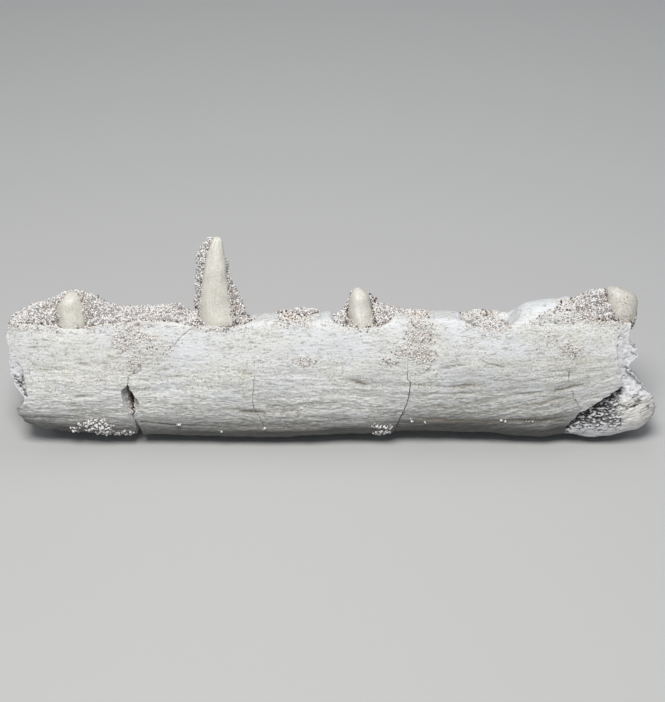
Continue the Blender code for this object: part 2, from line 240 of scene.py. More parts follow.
def cellNoise(x, h, t, size, seed=0):
    # distance to the nearest and to the second nearest seed, in cells
    points = np.stack(np.broadcast_arrays(x, h, t), -1) / np.array(size, float) + seed * 23.1
    cell = np.floor(points).astype(np.int64)
    first = np.full(points.shape[:-1], 9.0)
    second = first.copy()
    for number in range(27):
        spot = cell + np.array([number // 9 - 1, number // 3 % 3 - 1, number % 3 - 1])
        gap = np.linalg.norm(spot + seedSpots[cellKey(spot)] - points, axis=-1)
        second = np.minimum(second, np.maximum(first, gap))
        first = np.minimum(first, gap)
    return first, second


def lineGap(points, x, h):
    # distance from each (x, h) to a line of points
    nearest = np.full(np.shape(x), 1e9)
    for (x0, h0), (x1, h1) in zip(points, points[1:]):
        along = (x - x0) * (x1 - x0) + (h - h0) * (h1 - h0)
        s = np.clip(along / ((x1 - x0) ** 2 + (h1 - h0) ** 2), 0, 1)
        nearest = np.minimum(nearest, np.hypot(x - x0 - s * (x1 - x0), h - h0 - s * (h1 - h0)))
    return nearest


# Bone: shape

boneShape = {
    "faceRow": 0.27,  # mm between rows on the outer face
    "otherRow": 0.75,
    "column": 0.46,  # mm between columns along the jaw
    "nearEnds": (0.15, 0.4),  # mm from each end, two more columns
    "easing": 26,  # rounds of smoothing round the section
    "capRings": 22,
    "capCurve": 1.35,  # how squarely a cap closes
    "capCentre": (21, 11),  # h and t that the caps shrink to
    "jawEnds": 110,  # beyond this x either way, an end is the jaw's own broken end
    "reachLimit": 129.9,  # nothing goes beyond this x either way
    "breakShare": 0.9,  # share of the columns' run that ends where the outer wall breaks
    "breakColumns": 64,
    "breakStep": 0.0012,  # share, from the last column before the break
    "crackWidth": ((21, 0.32), (27, 0.12), (31, 0.02)),  # height, mm
    "holeOpen": ((1.5, 1.0), (5.0, 0.36), (12, 0.0)),  # depth, how far the hole's sides stand open
    "wallThickness": 3.4,
    "leftEnd": (
        (-123.4, 62), (-123.6, 46.8), (-124.6, 43.5), (-125.6, 40.3), (-124, 36.3), (-124.6, 31.5),
        (-124.2, 26.7), (-122.6, 21.9), (-119.2, 16.6), (-119.6, 14.3), (-122.6, 11.6), (-121.8, 8.9),
        (-119.4, 6), (-113, 2), (-110, -12),
    ),
    "crackTop": ((-73.6, 62), (-73.5, 31.9), (-73.4, 28.1), (-78.5, 25.9), (-78.6, 22.2)),
    "holeLeft": ((-81.3, 19.7), (-80.7, 14.0), (-78.0, 8.4)),
    "holeRight": ((-77.9, 20.2), (-74.6, 14.4), (-77.1, 8.2)),
    "holeBottom": (-78.9, -78.3, -77.6),  # where the two sides meet, inside the hole
    "crackFootLeft": ((-76.3, 4.6), (-76.7, 0.2), (-76.8, -12)),
    "crackFootRight": ((-75.4, 4.8), (-74.3, 0.4), (-74.2, -12)),
    "secondCrack": (
        (29.5, 62), (29.3, 31.9), (29.3, 24.3), (30.4, 23.6), (30, 17.9), (29.1, 14.1), (26.4, 7.4),
        (24.7, 1.8), (24.1, -12),
    ),
    "rightEnd": (
        (115.6, 62), (115.1, 46.6), (114.2, 42), (114.8, 39.5), (117.4, 36.5), (118, 33), (114.3, 30),
        (115.2, 27.4), (119.9, 22.6), (124.2, 17.4), (126.8, 12), (125.4, 6.6), (120.6, 1.6), (112, -1.2),
        (110, -12),
    ),
    "wallBreak": (
        (115.1, 60), (115.1, 48.3), (109.6, 41), (109.6, 34.5), (110.9, 27.5), (112.6, 21.9), (110, 19.8),
        (96.8, 10.3), (92.1, 4.2), (91.4, -10),
    ),
    "leftRecess": ((-125.2, 33.0), (-122.6, 32.0), (-119.2, 29.1), (-117.8, 17.1), (-119.6, 16.4)),
}

# Marks on the outer face
faceMarks = {
    # x, h, half length, half height, slope, depth, stain, grit
    "pits": (
        (-17.1, 23.5, 3.4, 0.7, -0.15, 0.6, 0.32, 0), (9.8, 22.9, 4, 0.7, -0.24, 0.7, 0.35, 0),
        (47.2, 29.3, 4.6, 0.6, 0.2, 0.6, 0.35, 0.5), (63.2, 29.7, 4, 0.6, -0.24, 0.5, 0.3, 0.4),
        (51.9, 21.4, 7.5, 0.8, 0.02, 0.6, 0.4, 0), (91, 20.6, 7, 0.8, 0.21, 0.7, 0.5, 0.35),
        (-33, 26.6, 2.6, 0.8, -0.42, 0.45, 0.35, 0), (-96.2, 17.4, 4, 0.6, 0.08, 0.5, 0.3, 0.2),
        (-113.8, 36.7, 1.5, 0.7, 0.1, 0.3, 0.5, 0.3), (-94.7, 30, 2.4, 0.8, -0.1, 0.4, 0.45, 0),
        (-110.2, 28.3, 2.5, 1, -0.1, 0.25, 0.3, 0.6), (-58.8, 25.5, 2.4, 0.8, 0.1, 0.4, 0.35, 0.6),
        (-27.1, 31.9, 1.9, 0.8, 0, 0.2, 0.25, 0.5), (87.7, 27.6, 4.2, 0.5, 0.15, 0.3, 0.25, 0),
        (-101.9, 34.3, 1, 0.8, 0, 0.2, 0.3, 0.6), (-90, 24.4, 1.6, 1, 0, 0.25, 0.3, 0.5),
        (26.4, 11, 2.5, 0.5, 0.2, 0.3, 0.2, 0), (-52.2, 31.5, 4, 0.4, 0.05, 0.2, 0.1, 0),
        (34.6, 34, 3, 1.6, 0.1, 0.4, 0.3, 0.3), (57.6, 36, 3, 0.5, -0.1, 0.2, 0.1, 0),
        (-104, 41, 2.2, 0.6, 0, 0.2, 0.15, 0.2), (-85.2, 36, 2, 0.7, 0.1, 0.3, 0.2, 0.3),
        (12.5, 21.8, 3, 0.8, -0.1, 0.4, 0.25, 0), (36.5, 22, 7, 0.7, 0.05, 0.3, 0.25, 0),
        (74, 18, 7, 0.7, 0.15, 0.4, 0.35, 0), (-5, 11.5, 8, 0.9, 0.05, 0.3, 0.15, 0),
    ),
    # narrow slits: points, width, darkness; their dark brown is partly brown fill, partly painted shade
    # inside them
    "slits": (
        (((9.6, 22.7), (11.8, 22.2), (13.6, 22)), 0.42, 0.85),
        (((41.6, 28.9), (46.2, 29.3), (50.6, 30.1)), 0.3, 0.6),
        (((58.6, 30.9), (62.8, 29.9), (66.6, 28.7)), 0.34, 0.5),
        (((40.5, 21.7), (46, 21), (52, 21)), 0.38, 0.6), (((52, 21.2), (60.8, 22.3)), 0.26, 0.35),
        (((86.6, 19.8), (91.6, 20.8), (95.6, 21.8)), 0.5, 0.85), (((95.6, 21.8), (99.8, 22.6)), 0.3, 0.4),
        (((-99.6, 17.3), (-96.2, 17.2), (-92.6, 17.8)), 0.32, 0.4),
        (((83.6, 27), (91.2, 28.2)), 0.26, 0.35), (((92.6, 32.1), (99, 33.9)), 0.24, 0.3),
        (((73, 6.9), (82, 7.2), (90.6, 6.6)), 0.42, 0.55),
        (((-74.4, 6.4), (-66, 5.6), (-58, 4.9)), 0.4, 0.6), (((-58, 4.9), (-43.8, 4.2)), 0.3, 0.3),
        (((-35.2, 11.2), (-30.6, 10.8), (-26, 10.4)), 0.46, 0.85),
        (((-73.5, 30.2), (-73.4, 28.2)), 0.35, 0.9), (((-78, 26), (-74, 27.5)), 0.35, 0.7),
        (((-80.3, 28.6), (-80.1, 26.2)), 0.22, 0.3), (((-23, 3.2), (-16, 3.6)), 0.4, 0.4),
    ),
    # grooves that run along the bone: points, half width, depth, stain
    "grooves": (
        (((-74, 6.3), (-62, 5), (-51, 4.6), (-43.6, 4.2)), 0.5, 0.45, 0.2),
        (((-45, 13.4), (-37, 12.2), (-31, 10.8), (-24, 10.4), (-14, 11.6)), 0.9, 0.5, 0.45),
        (((-45, 5.2), (-31, 4.2), (-18, 4.9), (-6, 4.2)), 0.8, 0.35, 0.2),
        (((-116, 8.6), (-104, 8.4), (-94, 7.4)), 0.4, 0.25, 0.15),
        (((-8, 8.2), (6, 7.4), (20, 8.6)), 0.6, 0.3, 0.2),
        (((-22, 13), (-8, 14.2), (6, 13.4)), 0.7, 0.3, 0.2),
        (((33, 12.5), (45, 12.6), (57, 14.5), (70, 18), (81, 18.8)), 0.8, 0.4, 0.5),
        (((33, 7.6), (48, 6.8), (61, 6.6), (79, 7), (90, 6.6)), 0.9, 0.45, 0.55),
        (((57, 10), (67, 11.8), (81, 14.2), (93, 16.4)), 0.7, 0.3, 0.45),
        (((80, 24.5), (92, 25.6), (104, 28.2), (110, 29)), 0.35, 0.2, 0.15),
        (((36, 17.8), (44, 18.6), (54, 18.4), (62, 17.8)), 0.5, 0.3, 0.3),
        (((28, 22.2), (34, 21.7), (44, 21.6)), 0.5, 0.3, 0.3),
    ),
    # fine cracks: points
    "hairlines": (
        ((-29.7, 25.1), (-30.4, 17.9), (-30.4, 12.7), (-28.2, 9.05), (-25.9, 3), (-24.8, 0.5)),
        ((-48, 46.6), (-54.2, 43.9), (-58, 40.7), (-61.9, 36.3)), ((91.7, 27.5), (91.4, 24.7)),
        ((93.3, 19.5), (93.6, 17.1), (97.1, 11.9)),
    ),
    # sand that still sticks to the face: x, h, half length, half height, strength, brownness
    "gritPatches": (
        (-78.4, 40.8, 7.2, 8, 0.95, 0.8), (-76.2, 31.8, 4, 4.4, 0.85, 0.8), (-66.5, 36.6, 8, 6, 0.55, 0.9),
        (-71, 41, 6.6, 2.2, 0.8, 0.9), (-72.5, 46, 11, 2.4, 0.9, 0.6), (33.8, 41.5, 7.6, 8.4, 0.85, 0.9),
        (35.3, 33.6, 6, 4.8, 1, 1), (27.4, 35, 5.4, 3.8, 0.75, 0.9), (22.4, 31.4, 6, 1.9, 0.75, 0.5),
        (-10.4, 31.8, 5.8, 2.6, 0.85, 0.95), (82, 40.6, 13, 6.4, 0.44, 0.2),
        (91.6, 36.2, 5.2, 4.2, 0.9, 0.95), (109, 46.8, 8, 2, 0.8, 0.9), (59.5, 44.8, 9.6, 1.9, 0.9, 0.5),
        (-112, 44.6, 14, 2.2, 0.6, 0.4), (-100, 37, 18, 7, 0.3, 0.3), (-14, 48.2, 10.8, 1.4, 0.95, 0.2),
        (10.6, 44.2, 10, 2.4, 0.8, 0.5), (-44, 45, 12, 2.2, 0.8, 0.5), (21, 39, 7, 6.5, 0.36, 0.4),
        (-27, 32.2, 3, 1.5, 0.7, 0.6), (68, 39, 9, 5, 0.3, 0.2), (-121.3, 20.6, 2.6, 4.4, 0.6, 0.1),
        (-122, 45.4, 4.6, 2.6, 0.9, 0.2), (25.5, 47.8, 7.5, 1.7, 0.95, 0.3), (66.4, 45, 4, 2.6, 0.85, 0.4),
        (-20, 41, 8, 3, 0.26, 0.3), (48, 39, 7, 5, 0.26, 0.3), (-2, 15.8, 6.5, 2.6, 0.34, 1),
        (103, 33, 6, 1.4, 0.4, 0.8), (-90, 41, 6, 3, 0.3, 0.4),
    ),
    # larger white grains along the lower edge: x, h, half length, half height, strength
    "whitePatches": (
        (-92.5, 4.8, 8.6, 3.2, 1), (-99.6, 3, 3.2, 1.6, 1), (-82, 1.2, 5, 2, 1), (-89, 2.2, 6, 2.4, 1),
        (20.2, 4.2, 4.6, 1.9, 0.9), (20, 1, 4, 1.7, 1), (77, 6.2, 2.8, 0.7, 0.7), (31.8, 7.2, 3, 0.7, 0.5),
        (36.3, 6.2, 0.6, 0.6, 1), (-59.2, 5.4, 0.9, 0.6, 1), (-43.6, 2.2, 1.2, 0.5, 0.6),
        (-26.6, 3.4, 1.4, 1, 0.4), (-101.6, 17.1, 0.7, 0.6, 1), (-90, 24.3, 0.8, 0.7, 1),
        (67.3, 6.6, 1.4, 0.6, 0.5),
    ),
    # where the bone is creamier: x, h, half length, half height, strength
    "creamPatches": (
        (92, 31.2, 18, 2.6, 1), (-88, 30, 26, 10, 0.75), (-100, 38, 18, 6, 0.55), (-30, 38, 14, 8, 0.35),
        (36, 37, 9, 9, 0.8), (90, 42, 22, 6, 0.45), (100, 26, 14, 5, 0.5), (10, 28, 26, 5, 0.35),
        (60, 31, 18, 2, 0.5), (-50, 26, 18, 5, 0.4), (-33, 26.5, 5, 2.5, 0.8), (-1, 16.5, 6, 4, 0.3),
    ),
    # where it is smoother and bluish white, the blue partly the bone's own tone and partly painted sky sheen:
    # x, h, half length, half height, strength
    "coolPatches": (
        (-15.5, 43.6, 6, 3.4, 0.9), (-1, 41, 13, 4.4, 0.75), (-16, 37, 10, 4, 0.6), (24.5, 46, 6, 4, 0.7),
        (49.7, 43.5, 8, 4, 0.8), (78, 53, 11, 5, 0.7), (68.6, 37.5, 14, 4, 0.4), (-53, 36.6, 11, 6, 0.7),
        (-68, 45, 9, 2.2, 0.8), (-40, 33, 9, 4, 0.5), (12, 36, 9, 5, 0.5), (-96, 33, 7, 5, 0.4),
        (4, 9, 14, 3, 0.4), (55, 25, 12, 2.6, 0.4), (100, 37.5, 8, 3, 0.3),
    ),
}

faceShape = {
    # long fibres: depth in mm, size, seed
    "fibres": (
        (0.26, (26, 3.4, 9), 31), (0.19, (9, 1.7, 6), 32), (0.15, (4.2, 0.8, 4), 33),
        (0.13, (2.2, 0.5, 3), 38),
    ),
    # how the fibres wave: height in mm, size, seed
    "waves": ((0.6, (30, 14, 1), 21), (0.45, (10, 4.5, 1), 22)),
    "bendFrom": 25,  # x from which they rise to the right
    "broadSwell": 0.14,  # mm
    "smallSwell": 0.07,
    "pockDepth": 0.22,
    "slitDepth": 0.35,
    "hairline": (0.12, 0.3),  # mm deep, mm wide
    "shadeStrength": 0.92,
    # painted shade of the turned-under lower edge: share of the height, darkness
    "shade": ((0, 1), (0.07, 0.96), (0.15, 0.54), (0.28, 0.04)),
    # how each kind of patch ends: how frayed, where it starts to fade and where it is gone, in half sizes
    "patchEdge": {
        "grit": (0.7, 0.35, 1.3), "white": (0.5, 0.6, 1.1), "cream": (0.7, 0.3, 1.3), "cool": (0.5, 0.3, 1.4),
    },
    # where sand clings along the rim: x, reach
    "rimSand": (
        (-112, 14), (-90, 10), (-75, 12), (-44, 12), (-14, 8), (11, 10), (33, 5), (59, 10), (106, 11),
    ),
    "cleanRim": (-99.5, 11.6, 5.2),  # x of the two small crowns, reach
    "bridgeSand": (78, 48.6, 0.40),  # x, h and slope of the sand's edge beside the bridge
}

# What shows where the outer wall is gone
breakShape = {
    "leftHeights": (16.4, 33.2),  # h of the gap at the left end
    "leftFloor": 1.9,  # its t
    # at the right end: x, h, half length, half height
    "lump": (119.2, 12.6, 7.2, 9.6),
    "darkSpot": (118.6, 16.2, 2.6, 1.7),
    # points
    "crease": ((112.2, 12.6), (116.0, 12.4), (119.9, 14.0)),
    "notch": ((112.9, 10.6), (113.2, 6.0), (112.4, 0.0)),
    "lumpGrain": (0.90, 0.44),  # the way that the lump's fibres run
    # mm that each form goes in
    "relief": {"lump": -3.3, "crease": 1.5, "foot": -2.3, "wrinkles": 0.36, "top": -0.9},
}


def boneSection(x, setBack):
    low, rimHeight, shut, top, extra = (
        float(easedAlong(jaw[name], x))
        for name in ("lowerEdge", "rim", "bridge", "bridgeTop", "innerRimExtra")
    )
    thick, grooveOut, grooveIn = (jaw[name] for name in ("thickness", "grooveOut", "grooveIn"))
    deep = rimHeight - low
    inner = rimHeight - jaw["innerRimDrop"] + extra
    trough = rimHeight - jaw["grooveDepth"]
    middle, turnFrom, turnOver, turnDepth = jaw["turnBack"]
    end = max(0.0, (abs(x - middle) - turnFrom) / turnOver)
    ring = []
    for q, t in jaw["faceCurve"]:
        h = low + deep * q
        swell = sum(high * noise.noise(Vector((x, h * 1.3, z)) / size) for high, size, z in jaw["swells"])
        ring.append((h, t + turnDepth * end * end + swell * min(1.0, 4 * q) + setBack * (1 - q)))
    ring.append((rimHeight, 3.1))
    for openH, shutH, t in (
        (rimHeight - 0.1, 0.26 * top + 0.3, 4.1), (rimHeight - 1.4, 0.45 * top + 0.3, grooveOut),
        (trough + 1.5, 0.52 * top + 0.3, grooveOut + 0.5), (trough, 0.86 * top, 8.0),
        (trough, top, 14.0), (trough + 1.5, 0.9 * top - 0.5, grooveIn - 0.5),
        (inner - 1.2, 0.84 * top - 0.7, grooveIn), (inner, 0.7 * top - 1.1, grooveIn + 1.1),
        (inner - 0.2, 0.5 * top - 1.8, thick - 1.2), (inner - 2.0, 0.3 * top - 3.4, thick),
    ):
        ring.append((openH * (1 - shut) + (rimHeight + shutH) * shut, t))
    ring += [(low + deep * 0.55, thick + 0.4), (low + deep * 0.2, thick - 1.5)]
    ring += [(low + 1.6, thick - 4.5), (low + 0.2, thick - 8.0)]
    return ring


def makeRings(setBack):
    # every station's section, resampled into fine rows and eased round its corners
    stations = jaw["stationStep"] * np.arange(-jaw["stations"], jaw["stations"] + 1)
    keys = np.array([boneSection(float(x), setBack) for x in stations])
    middle = keys[jaw["stations"]]
    count = len(middle)
    faceKeys = len(jaw["faceCurve"])
    rowKey, rowPart = [], []
    for k in range(count):
        length = np.linalg.norm(middle[(k + 1) % count] - middle[k])
        spacing = boneShape["faceRow"] if k <= faceKeys else boneShape["otherRow"]
        rows = max(2, math.ceil(length / spacing))
        rowKey += [k] * rows
        rowPart += [j / rows for j in range(rows)]
    rowKey, rowPart = np.array(rowKey), np.array(rowPart)[:, None]
    rings = keys[:, rowKey] * (1 - rowPart) + keys[:, (rowKey + 1) % count] * rowPart
    ease = np.where(rowKey <= faceKeys, 1.0, 0.4)[:, None]
    for _ in range(boneShape["easing"]):
        rings += ease * (0.25 * (np.roll(rings, 1, 1) + np.roll(rings, -1, 1)) - 0.5 * rings)
    place = rowKey + rowPart[:, 0]
    face = smoothStep(place, 0.2, 2.0) * (1 - smoothStep(place, faceKeys, faceKeys + 2))
    return rings, face


def ringAt(rings, x, row):
    place = x / jaw["stationStep"] + jaw["stations"]
    i = np.clip(np.floor(place).astype(int), 1, len(rings) - 3)
    return roundThrough(*(rings[i + j, row] for j in (-1, 0, 1, 2)), (place - i)[..., None])


def ragged(h, t, size, seed):
    return size * noiseSum(h, t, 0, ((1, (1.5, 3, 1), seed), (0.5, (0.6, 1.5, 1), seed + 1)))


def crackSide(h, t, side):
    # the first crack, which opens into a hole; side is -1 on its left, 1 on its right
    hole, foot = (boneShape[name + ("Left" if side < 0 else "Right")] for name in ("hole", "crackFoot"))
    shutHole = tuple((x, height) for x, (_, height) in zip(boneShape["holeBottom"], hole))
    wide, narrow = (outlineAt(boneShape["crackTop"] + middle + foot, h) for middle in (hole, shutHole))
    apart = side * linear(boneShape["crackWidth"], h) / 2
    return narrow + (wide - narrow) * linear(boneShape["holeOpen"], t) + apart + ragged(h, t, 0.22, 5)


def secondSide(h, t, side):
    apart = side * linear(boneShape["crackWidth"], h) / 2
    return outlineAt(boneShape["secondCrack"], h) + apart + ragged(h, t, 0.16, 8)


def wallBreakAt(h):
    return outlineAt(boneShape["wallBreak"], h) + ragged(h, 0, 0.45, 14)


def fibreBend(x, h):
    # the fibres rise to the right on the right-hand half
    rise = 0.22 * np.clip(x - faceShape["bendFrom"], 0, None) ** 2 / 170
    return rise * (1 - 0.45 * smoothStep(h, 24, 44)) + noiseSum(x, h, 0, faceShape["waves"])


def ellipse(x, h, spot):
    return np.hypot((x - spot[0]) / spot[2], (h - spot[1]) / spot[3])


def blob(x, h, spot, power):
    return np.exp(-(((x - spot[0]) / spot[2]) ** 2 + ((h - spot[1]) / spot[3]) ** 2) ** power)


def faceRelief(x, h, t, face):
    # depth into the bone in mm, and what the materials read
    low, rimHeight = easedAlong(jaw["lowerEdge"], x), easedAlong(jaw["rim"], x)
    share = (h - low) / (rimHeight - low)
    strand = h - fibreBend(x, h)
    lower = 1 - smoothStep(share, 0.42, 0.8)
    deeper = noiseSum(x, strand, t, faceShape["fibres"]) * (0.15 + 0.95 * lower)
    broad, small = softNoise(x, h, t, (8, 6, 7), 34), softNoise(x, h, t, (1.4, 0.9, 1.4), 35)
    deeper += faceShape["broadSwell"] * broad * (1 - lower) + faceShape["smallSwell"] * small
    first, _ = cellNoise(x, h * 1.3, t, 2.3, 36)
    pocks = smoothStep(0.30 - first, 0, 0.2) * smoothStep(softNoise(x, h, t, 7, 37), -0.05, 0.4)
    deeper += faceShape["pockDepth"] * pocks * (0.15 + 0.85 * (1 - lower))
    # painted shade on the turned-under lower edge, then darker lower down from the middle rightwards, then
    # broad darker streaks along the fibres
    shade = faceShape["shadeStrength"] * linear(faceShape["shade"], share)
    shade = shade + lower * (0.07 * smoothStep(x, -70, -40) + 0.16 * smoothStep(x, 22, 60))
    shade += 0.24 * lower * np.clip(softNoise(x, strand, 0, (24, 2.4, 1), 39), 0, 0.6)
    nothing = np.zeros(np.shape(x))
    marks = dict.fromkeys(("slit", "grit", "brown", "white", "cream", "cool", "bed", "pore"), nothing)
    # how deep each point lies, for painted shade in the hollows
    marks.update(hollow=np.clip(0.5 + deeper * 1.3, 0, 1), stain=0.22 * pocks * (1 - lower), shade=shade)

    def raiseTo(**fields):
        for key, values in fields.items():
            marks[key] = np.maximum(marks[key], values)

    for px, ph, long, high, slope, depth, stained, gritty in faceMarks["pits"]:
        u = ((x - px) * math.cos(slope) + (h - ph) * math.sin(slope)) / long
        w = ((h - ph) * math.cos(slope) - (x - px) * math.sin(slope)) / high
        core = np.exp(-1.3 * u ** 2 - 1.2 * w ** 2)
        halo = np.exp(-0.6 * u ** 2 - 0.18 * (w - 0.8) ** 2)
        lip = np.exp(-0.9 * u ** 2 - 0.5 * (w + 2.1) ** 2)
        deeper += (depth * (0.8 * core + 0.4 * halo) - 0.16 * depth * lip) * face
        raiseTo(stain=stained * np.clip(core + 0.14 * halo, 0, 1), grit=gritty * core, brown=gritty * core)
    for points, width, dark in faceMarks["slits"]:
        gap = lineGap(points, x, h + 0.35 * softNoise(x, 0, 0, 2.6, 51))
        thin = width * (0.8 + 0.5 * softNoise(x, h, 0, (2.2, 1, 1), 52))
        line = np.exp(-(gap / np.maximum(thin, 0.15)) ** 2) * face
        line = line * np.clip(0.75 + softNoise(x, h, 0, (1.3, 0.6, 1), 53), 0, 1)
        deeper += faceShape["slitDepth"] * dark * line
        raiseTo(slit=dark * line)
    for points, width, depth, stained in faceMarks["grooves"]:
        gap = lineGap(points, x, h + 0.5 * softNoise(x, 0, 0, 5, 41))
        fade = 0.7 + 0.5 * softNoise(x, h, 0, (6, 3, 1), 42)
        deeper += depth * np.exp(-(gap / width) ** 2) * face * fade
        raiseTo(stain=stained * np.exp(-(gap / (width * 1.1)) ** 2) * fade)
    lineDepth, lineWidth = faceShape["hairline"]
    for points in faceMarks["hairlines"]:
        gap = lineGap(points, x + 0.3 * softNoise(h, x, 0, 1.7, 43), h + 0.3 * softNoise(x, h, 0, 1.7, 44))
        deeper += lineDepth * np.exp(-(gap / lineWidth) ** 2) * face
    fray = noiseSum(x, h, t, ((0.55, 2.4, 45), (0.3, 1.0, 46)))
    for kind, (frayed, inner, outer) in faceShape["patchEdge"].items():
        for patch in faceMarks[kind + "Patches"]:
            reach = 1 - smoothStep(ellipse(x, h, patch) + fray * frayed, inner, outer)
            raiseTo(**{kind: patch[4] * reach})
            if kind == "grit":
                raiseTo(brown=patch[5] * reach)
            if kind == "white":
                # the bed under the white grains gets painted shade between them
                raiseTo(bed=(patch[2] > 2) * reach)
    for key in ("grit", "brown", "cream"):
        marks[key] = marks[key] * face
    for key in ("white", "bed"):
        marks[key] = marks[key] * smoothStep(face, 0, 0.25)
    # sand clings along the rim near the crowns, less of it under the two small ones
    nearCrown = np.max([bell(x, centre, reach) for centre, reach in faceShape["rimSand"]], 0)
    above = h - rimHeight
    margin = smoothStep(above + fray * 2.4, -3.8, -0.4) * nearCrown
    leftClean, shortClean, reach = faceShape["cleanRim"]
    margin *= 1 - 0.45 * bell(x, leftClean, reach, 4) - 0.8 * bell(x, shortClean, reach, 4)
    frontTop = (1 - smoothStep(t, 12, 14)) * smoothStep(x, 72, 80)
    edgeX, edgeH, climb = faceShape["bridgeSand"]
    bridgeSand = smoothStep((x - edgeX) * climb + edgeH - h + fray * 1.8, -0.8, 1.0)
    bridgeSand = bridgeSand * smoothStep(above + fray * 1.8, -2.0, 0.0) * frontTop
    raiseTo(grit=0.95 * margin, brown=0.5 * margin)
    raiseTo(grit=0.9 * bridgeSand)
    crumb = 0.5 + softNoise(x, h, t, 0.95, 47) + 0.4 * softNoise(x, h, t, 2.2, 48)
    sand = marks["grit"] * (0.04 + 0.34 * np.clip(crumb, 0, 1.4))
    deeper -= sand + marks["white"] * 0.4 * np.clip(crumb, 0, 1.3)
    marks["loose"] = smoothStep(marks["grit"], 0.30, 0.85)
    marks["stain"] = np.clip(marks["stain"], 0, 1)
    marks["slit"] = marks["slit"] * (1 - 0.7 * marks["grit"])
    return deeper, marks


def brokenWall(x, h, t, marks, side):
    # the inside of the bone where its outer wall is gone: the new t, and what the materials read there
    if side < 0:
        low, high = breakShape["leftHeights"]
        beyond = np.where((h > low) & (h < high), outlineAt(boneShape["leftRecess"], h) - x, -1.0)
        floor = breakShape["leftFloor"] + 0.6 * softNoise(x, h, 0, 2.2, 61)
        zone = 0.64 - 0.62 * smoothStep(h + 0.8 * softNoise(x, h, 0, 1.5, 77), 24, 27)
        lump = 0.0
    else:
        beyond = x - wallBreakAt(h)
        floor = boneShape["wallThickness"]
        floor = floor + 0.9 * np.exp(-np.clip(beyond, 0, None) / 5) * smoothStep(24 - h, 0, 6)
        lump = blob(x, h, breakShape["lump"], 1.6)
        shifted = h + 0.4 * softNoise(x, h, 0, 1.3, 70)
        crease = bell(lineGap(breakShape["crease"], x, shifted), 0, 0.8)
        shifted = x + 0.5 * softNoise(h, x, 0, 1.8, 71)
        notch = bell(lineGap(breakShape["notch"], shifted, h), 0, 0.5)
        crease = np.maximum(crease, 0.8 * notch)
        foot = bell(h, 0.8, 2.9) * smoothStep(x, 90, 95) * (0.75 + 0.6 * softNoise(x, 0, 0, 3.0, 62))
        floor += 0.5 * foot * softNoise(x, h, 0, (1.7, 1.3, 1), 79)
        wrinkles = noiseSum(x, h, 0, ((1, (1.6, 3.4, 1), 63), (0.6, (0.9, 1.6, 1), 64)))
        forms = {
            "lump": lump, "crease": crease, "foot": foot, "wrinkles": wrinkles, "top": smoothStep(h, 24, 30),
        }
        floor += sum(breakShape["relief"][form] * amount for form, amount in forms.items())
        right, up = x - breakShape["lump"][0], h - breakShape["lump"][1]
        run, rise = breakShape["lumpGrain"]
        turn = right * run + up * rise, up * run - right * rise
        bumps = 0.42 * softNoise(*turn, 0, (5, 0.9, 1), 75) + 0.5 * softNoise(x, h, 0, (1.5, 1.3, 1), 76)
        floor += lump * bumps
        zone = np.clip(1 - 1.25 * lump - 0.85 * foot - smoothStep(h, 19.5, 22.5), 0, 1)
        zone = np.maximum(zone, 0.75 * blob(x, h, breakShape["darkSpot"], 1.5))
    broken = smoothStep(beyond, 0.0, 0.12)
    spongy = broken * zone
    webs = np.abs(softNoise(x, h, 0, (1.25, 0.9, 1), 65))
    webs = webs + 0.6 * np.abs(softNoise(x, h, 0, (0.65, 0.55, 1), 66))
    chips = smoothStep(softNoise(x, h, 0, (1.5, 0.9, 1), 67), 0.16, 0.32)
    pore = smoothStep(webs, 0.08, 0.22) * (1 - 0.9 * chips)
    edgeDepth = np.exp(-np.clip(beyond, 0, None) / 6)
    floor = floor + spongy * (1.2 * pore - 0.6 + 0.9 * edgeDepth)
    creases = smoothStep(softNoise(x, h - 0.25 * x, 0, (2.2, 1.1, 1), 68), 0.12, 0.45) * broken * (1 - spongy)
    floor = floor + 0.2 * creases
    # painted shade in the pores, darker near the break's edge, and in the creases
    dark = spongy * pore * (0.62 + 0.26 * edgeDepth) + 0.36 * creases
    if side > 0:
        # the lump's own darker strips, and painted shade in the rents of the crease and the notch
        strips = smoothStep(softNoise(*turn, 0, (3.6, 0.6, 1), 78), 0.16, 0.42) * lump * broken
        rents = np.clip(crease * (0.75 + softNoise(x, h, 0, (0.9, 0.7, 1), 72)), 0, 1) * broken
        dark = np.maximum(dark, np.maximum(0.56 * strips, 0.60 * rents))
        lump = lump * (1 - smoothStep(h, 14.5, 18))
    inside = beyond > 0
    marks["pore"] = np.maximum(marks["pore"], dark)
    for keys, factor in ((("grit", "loose"), 0.4), (("stain", "slit", "shade"), 0.2)):
        for key in keys:
            marks[key] = np.where(inside, marks[key] * factor, marks[key])
    marks["cream"] = np.where(inside, lump, marks["cream"])
    marks["broken"] = broken
    return np.where(inside, np.maximum(t, floor), t)


def addFields(mesh, fields):
    for label, values in fields.items():
        kind, field = ("FLOAT_VECTOR", "vector") if values.ndim == 2 else ("FLOAT", "value")
        mesh.attributes.new(label, kind, "POINT").data.foreach_set(field, values.astype(np.float32).ravel())


def makeSmooth(mesh):
    mesh.polygons.foreach_set("use_smooth", np.full(len(mesh.polygons), True))
    mesh.update()


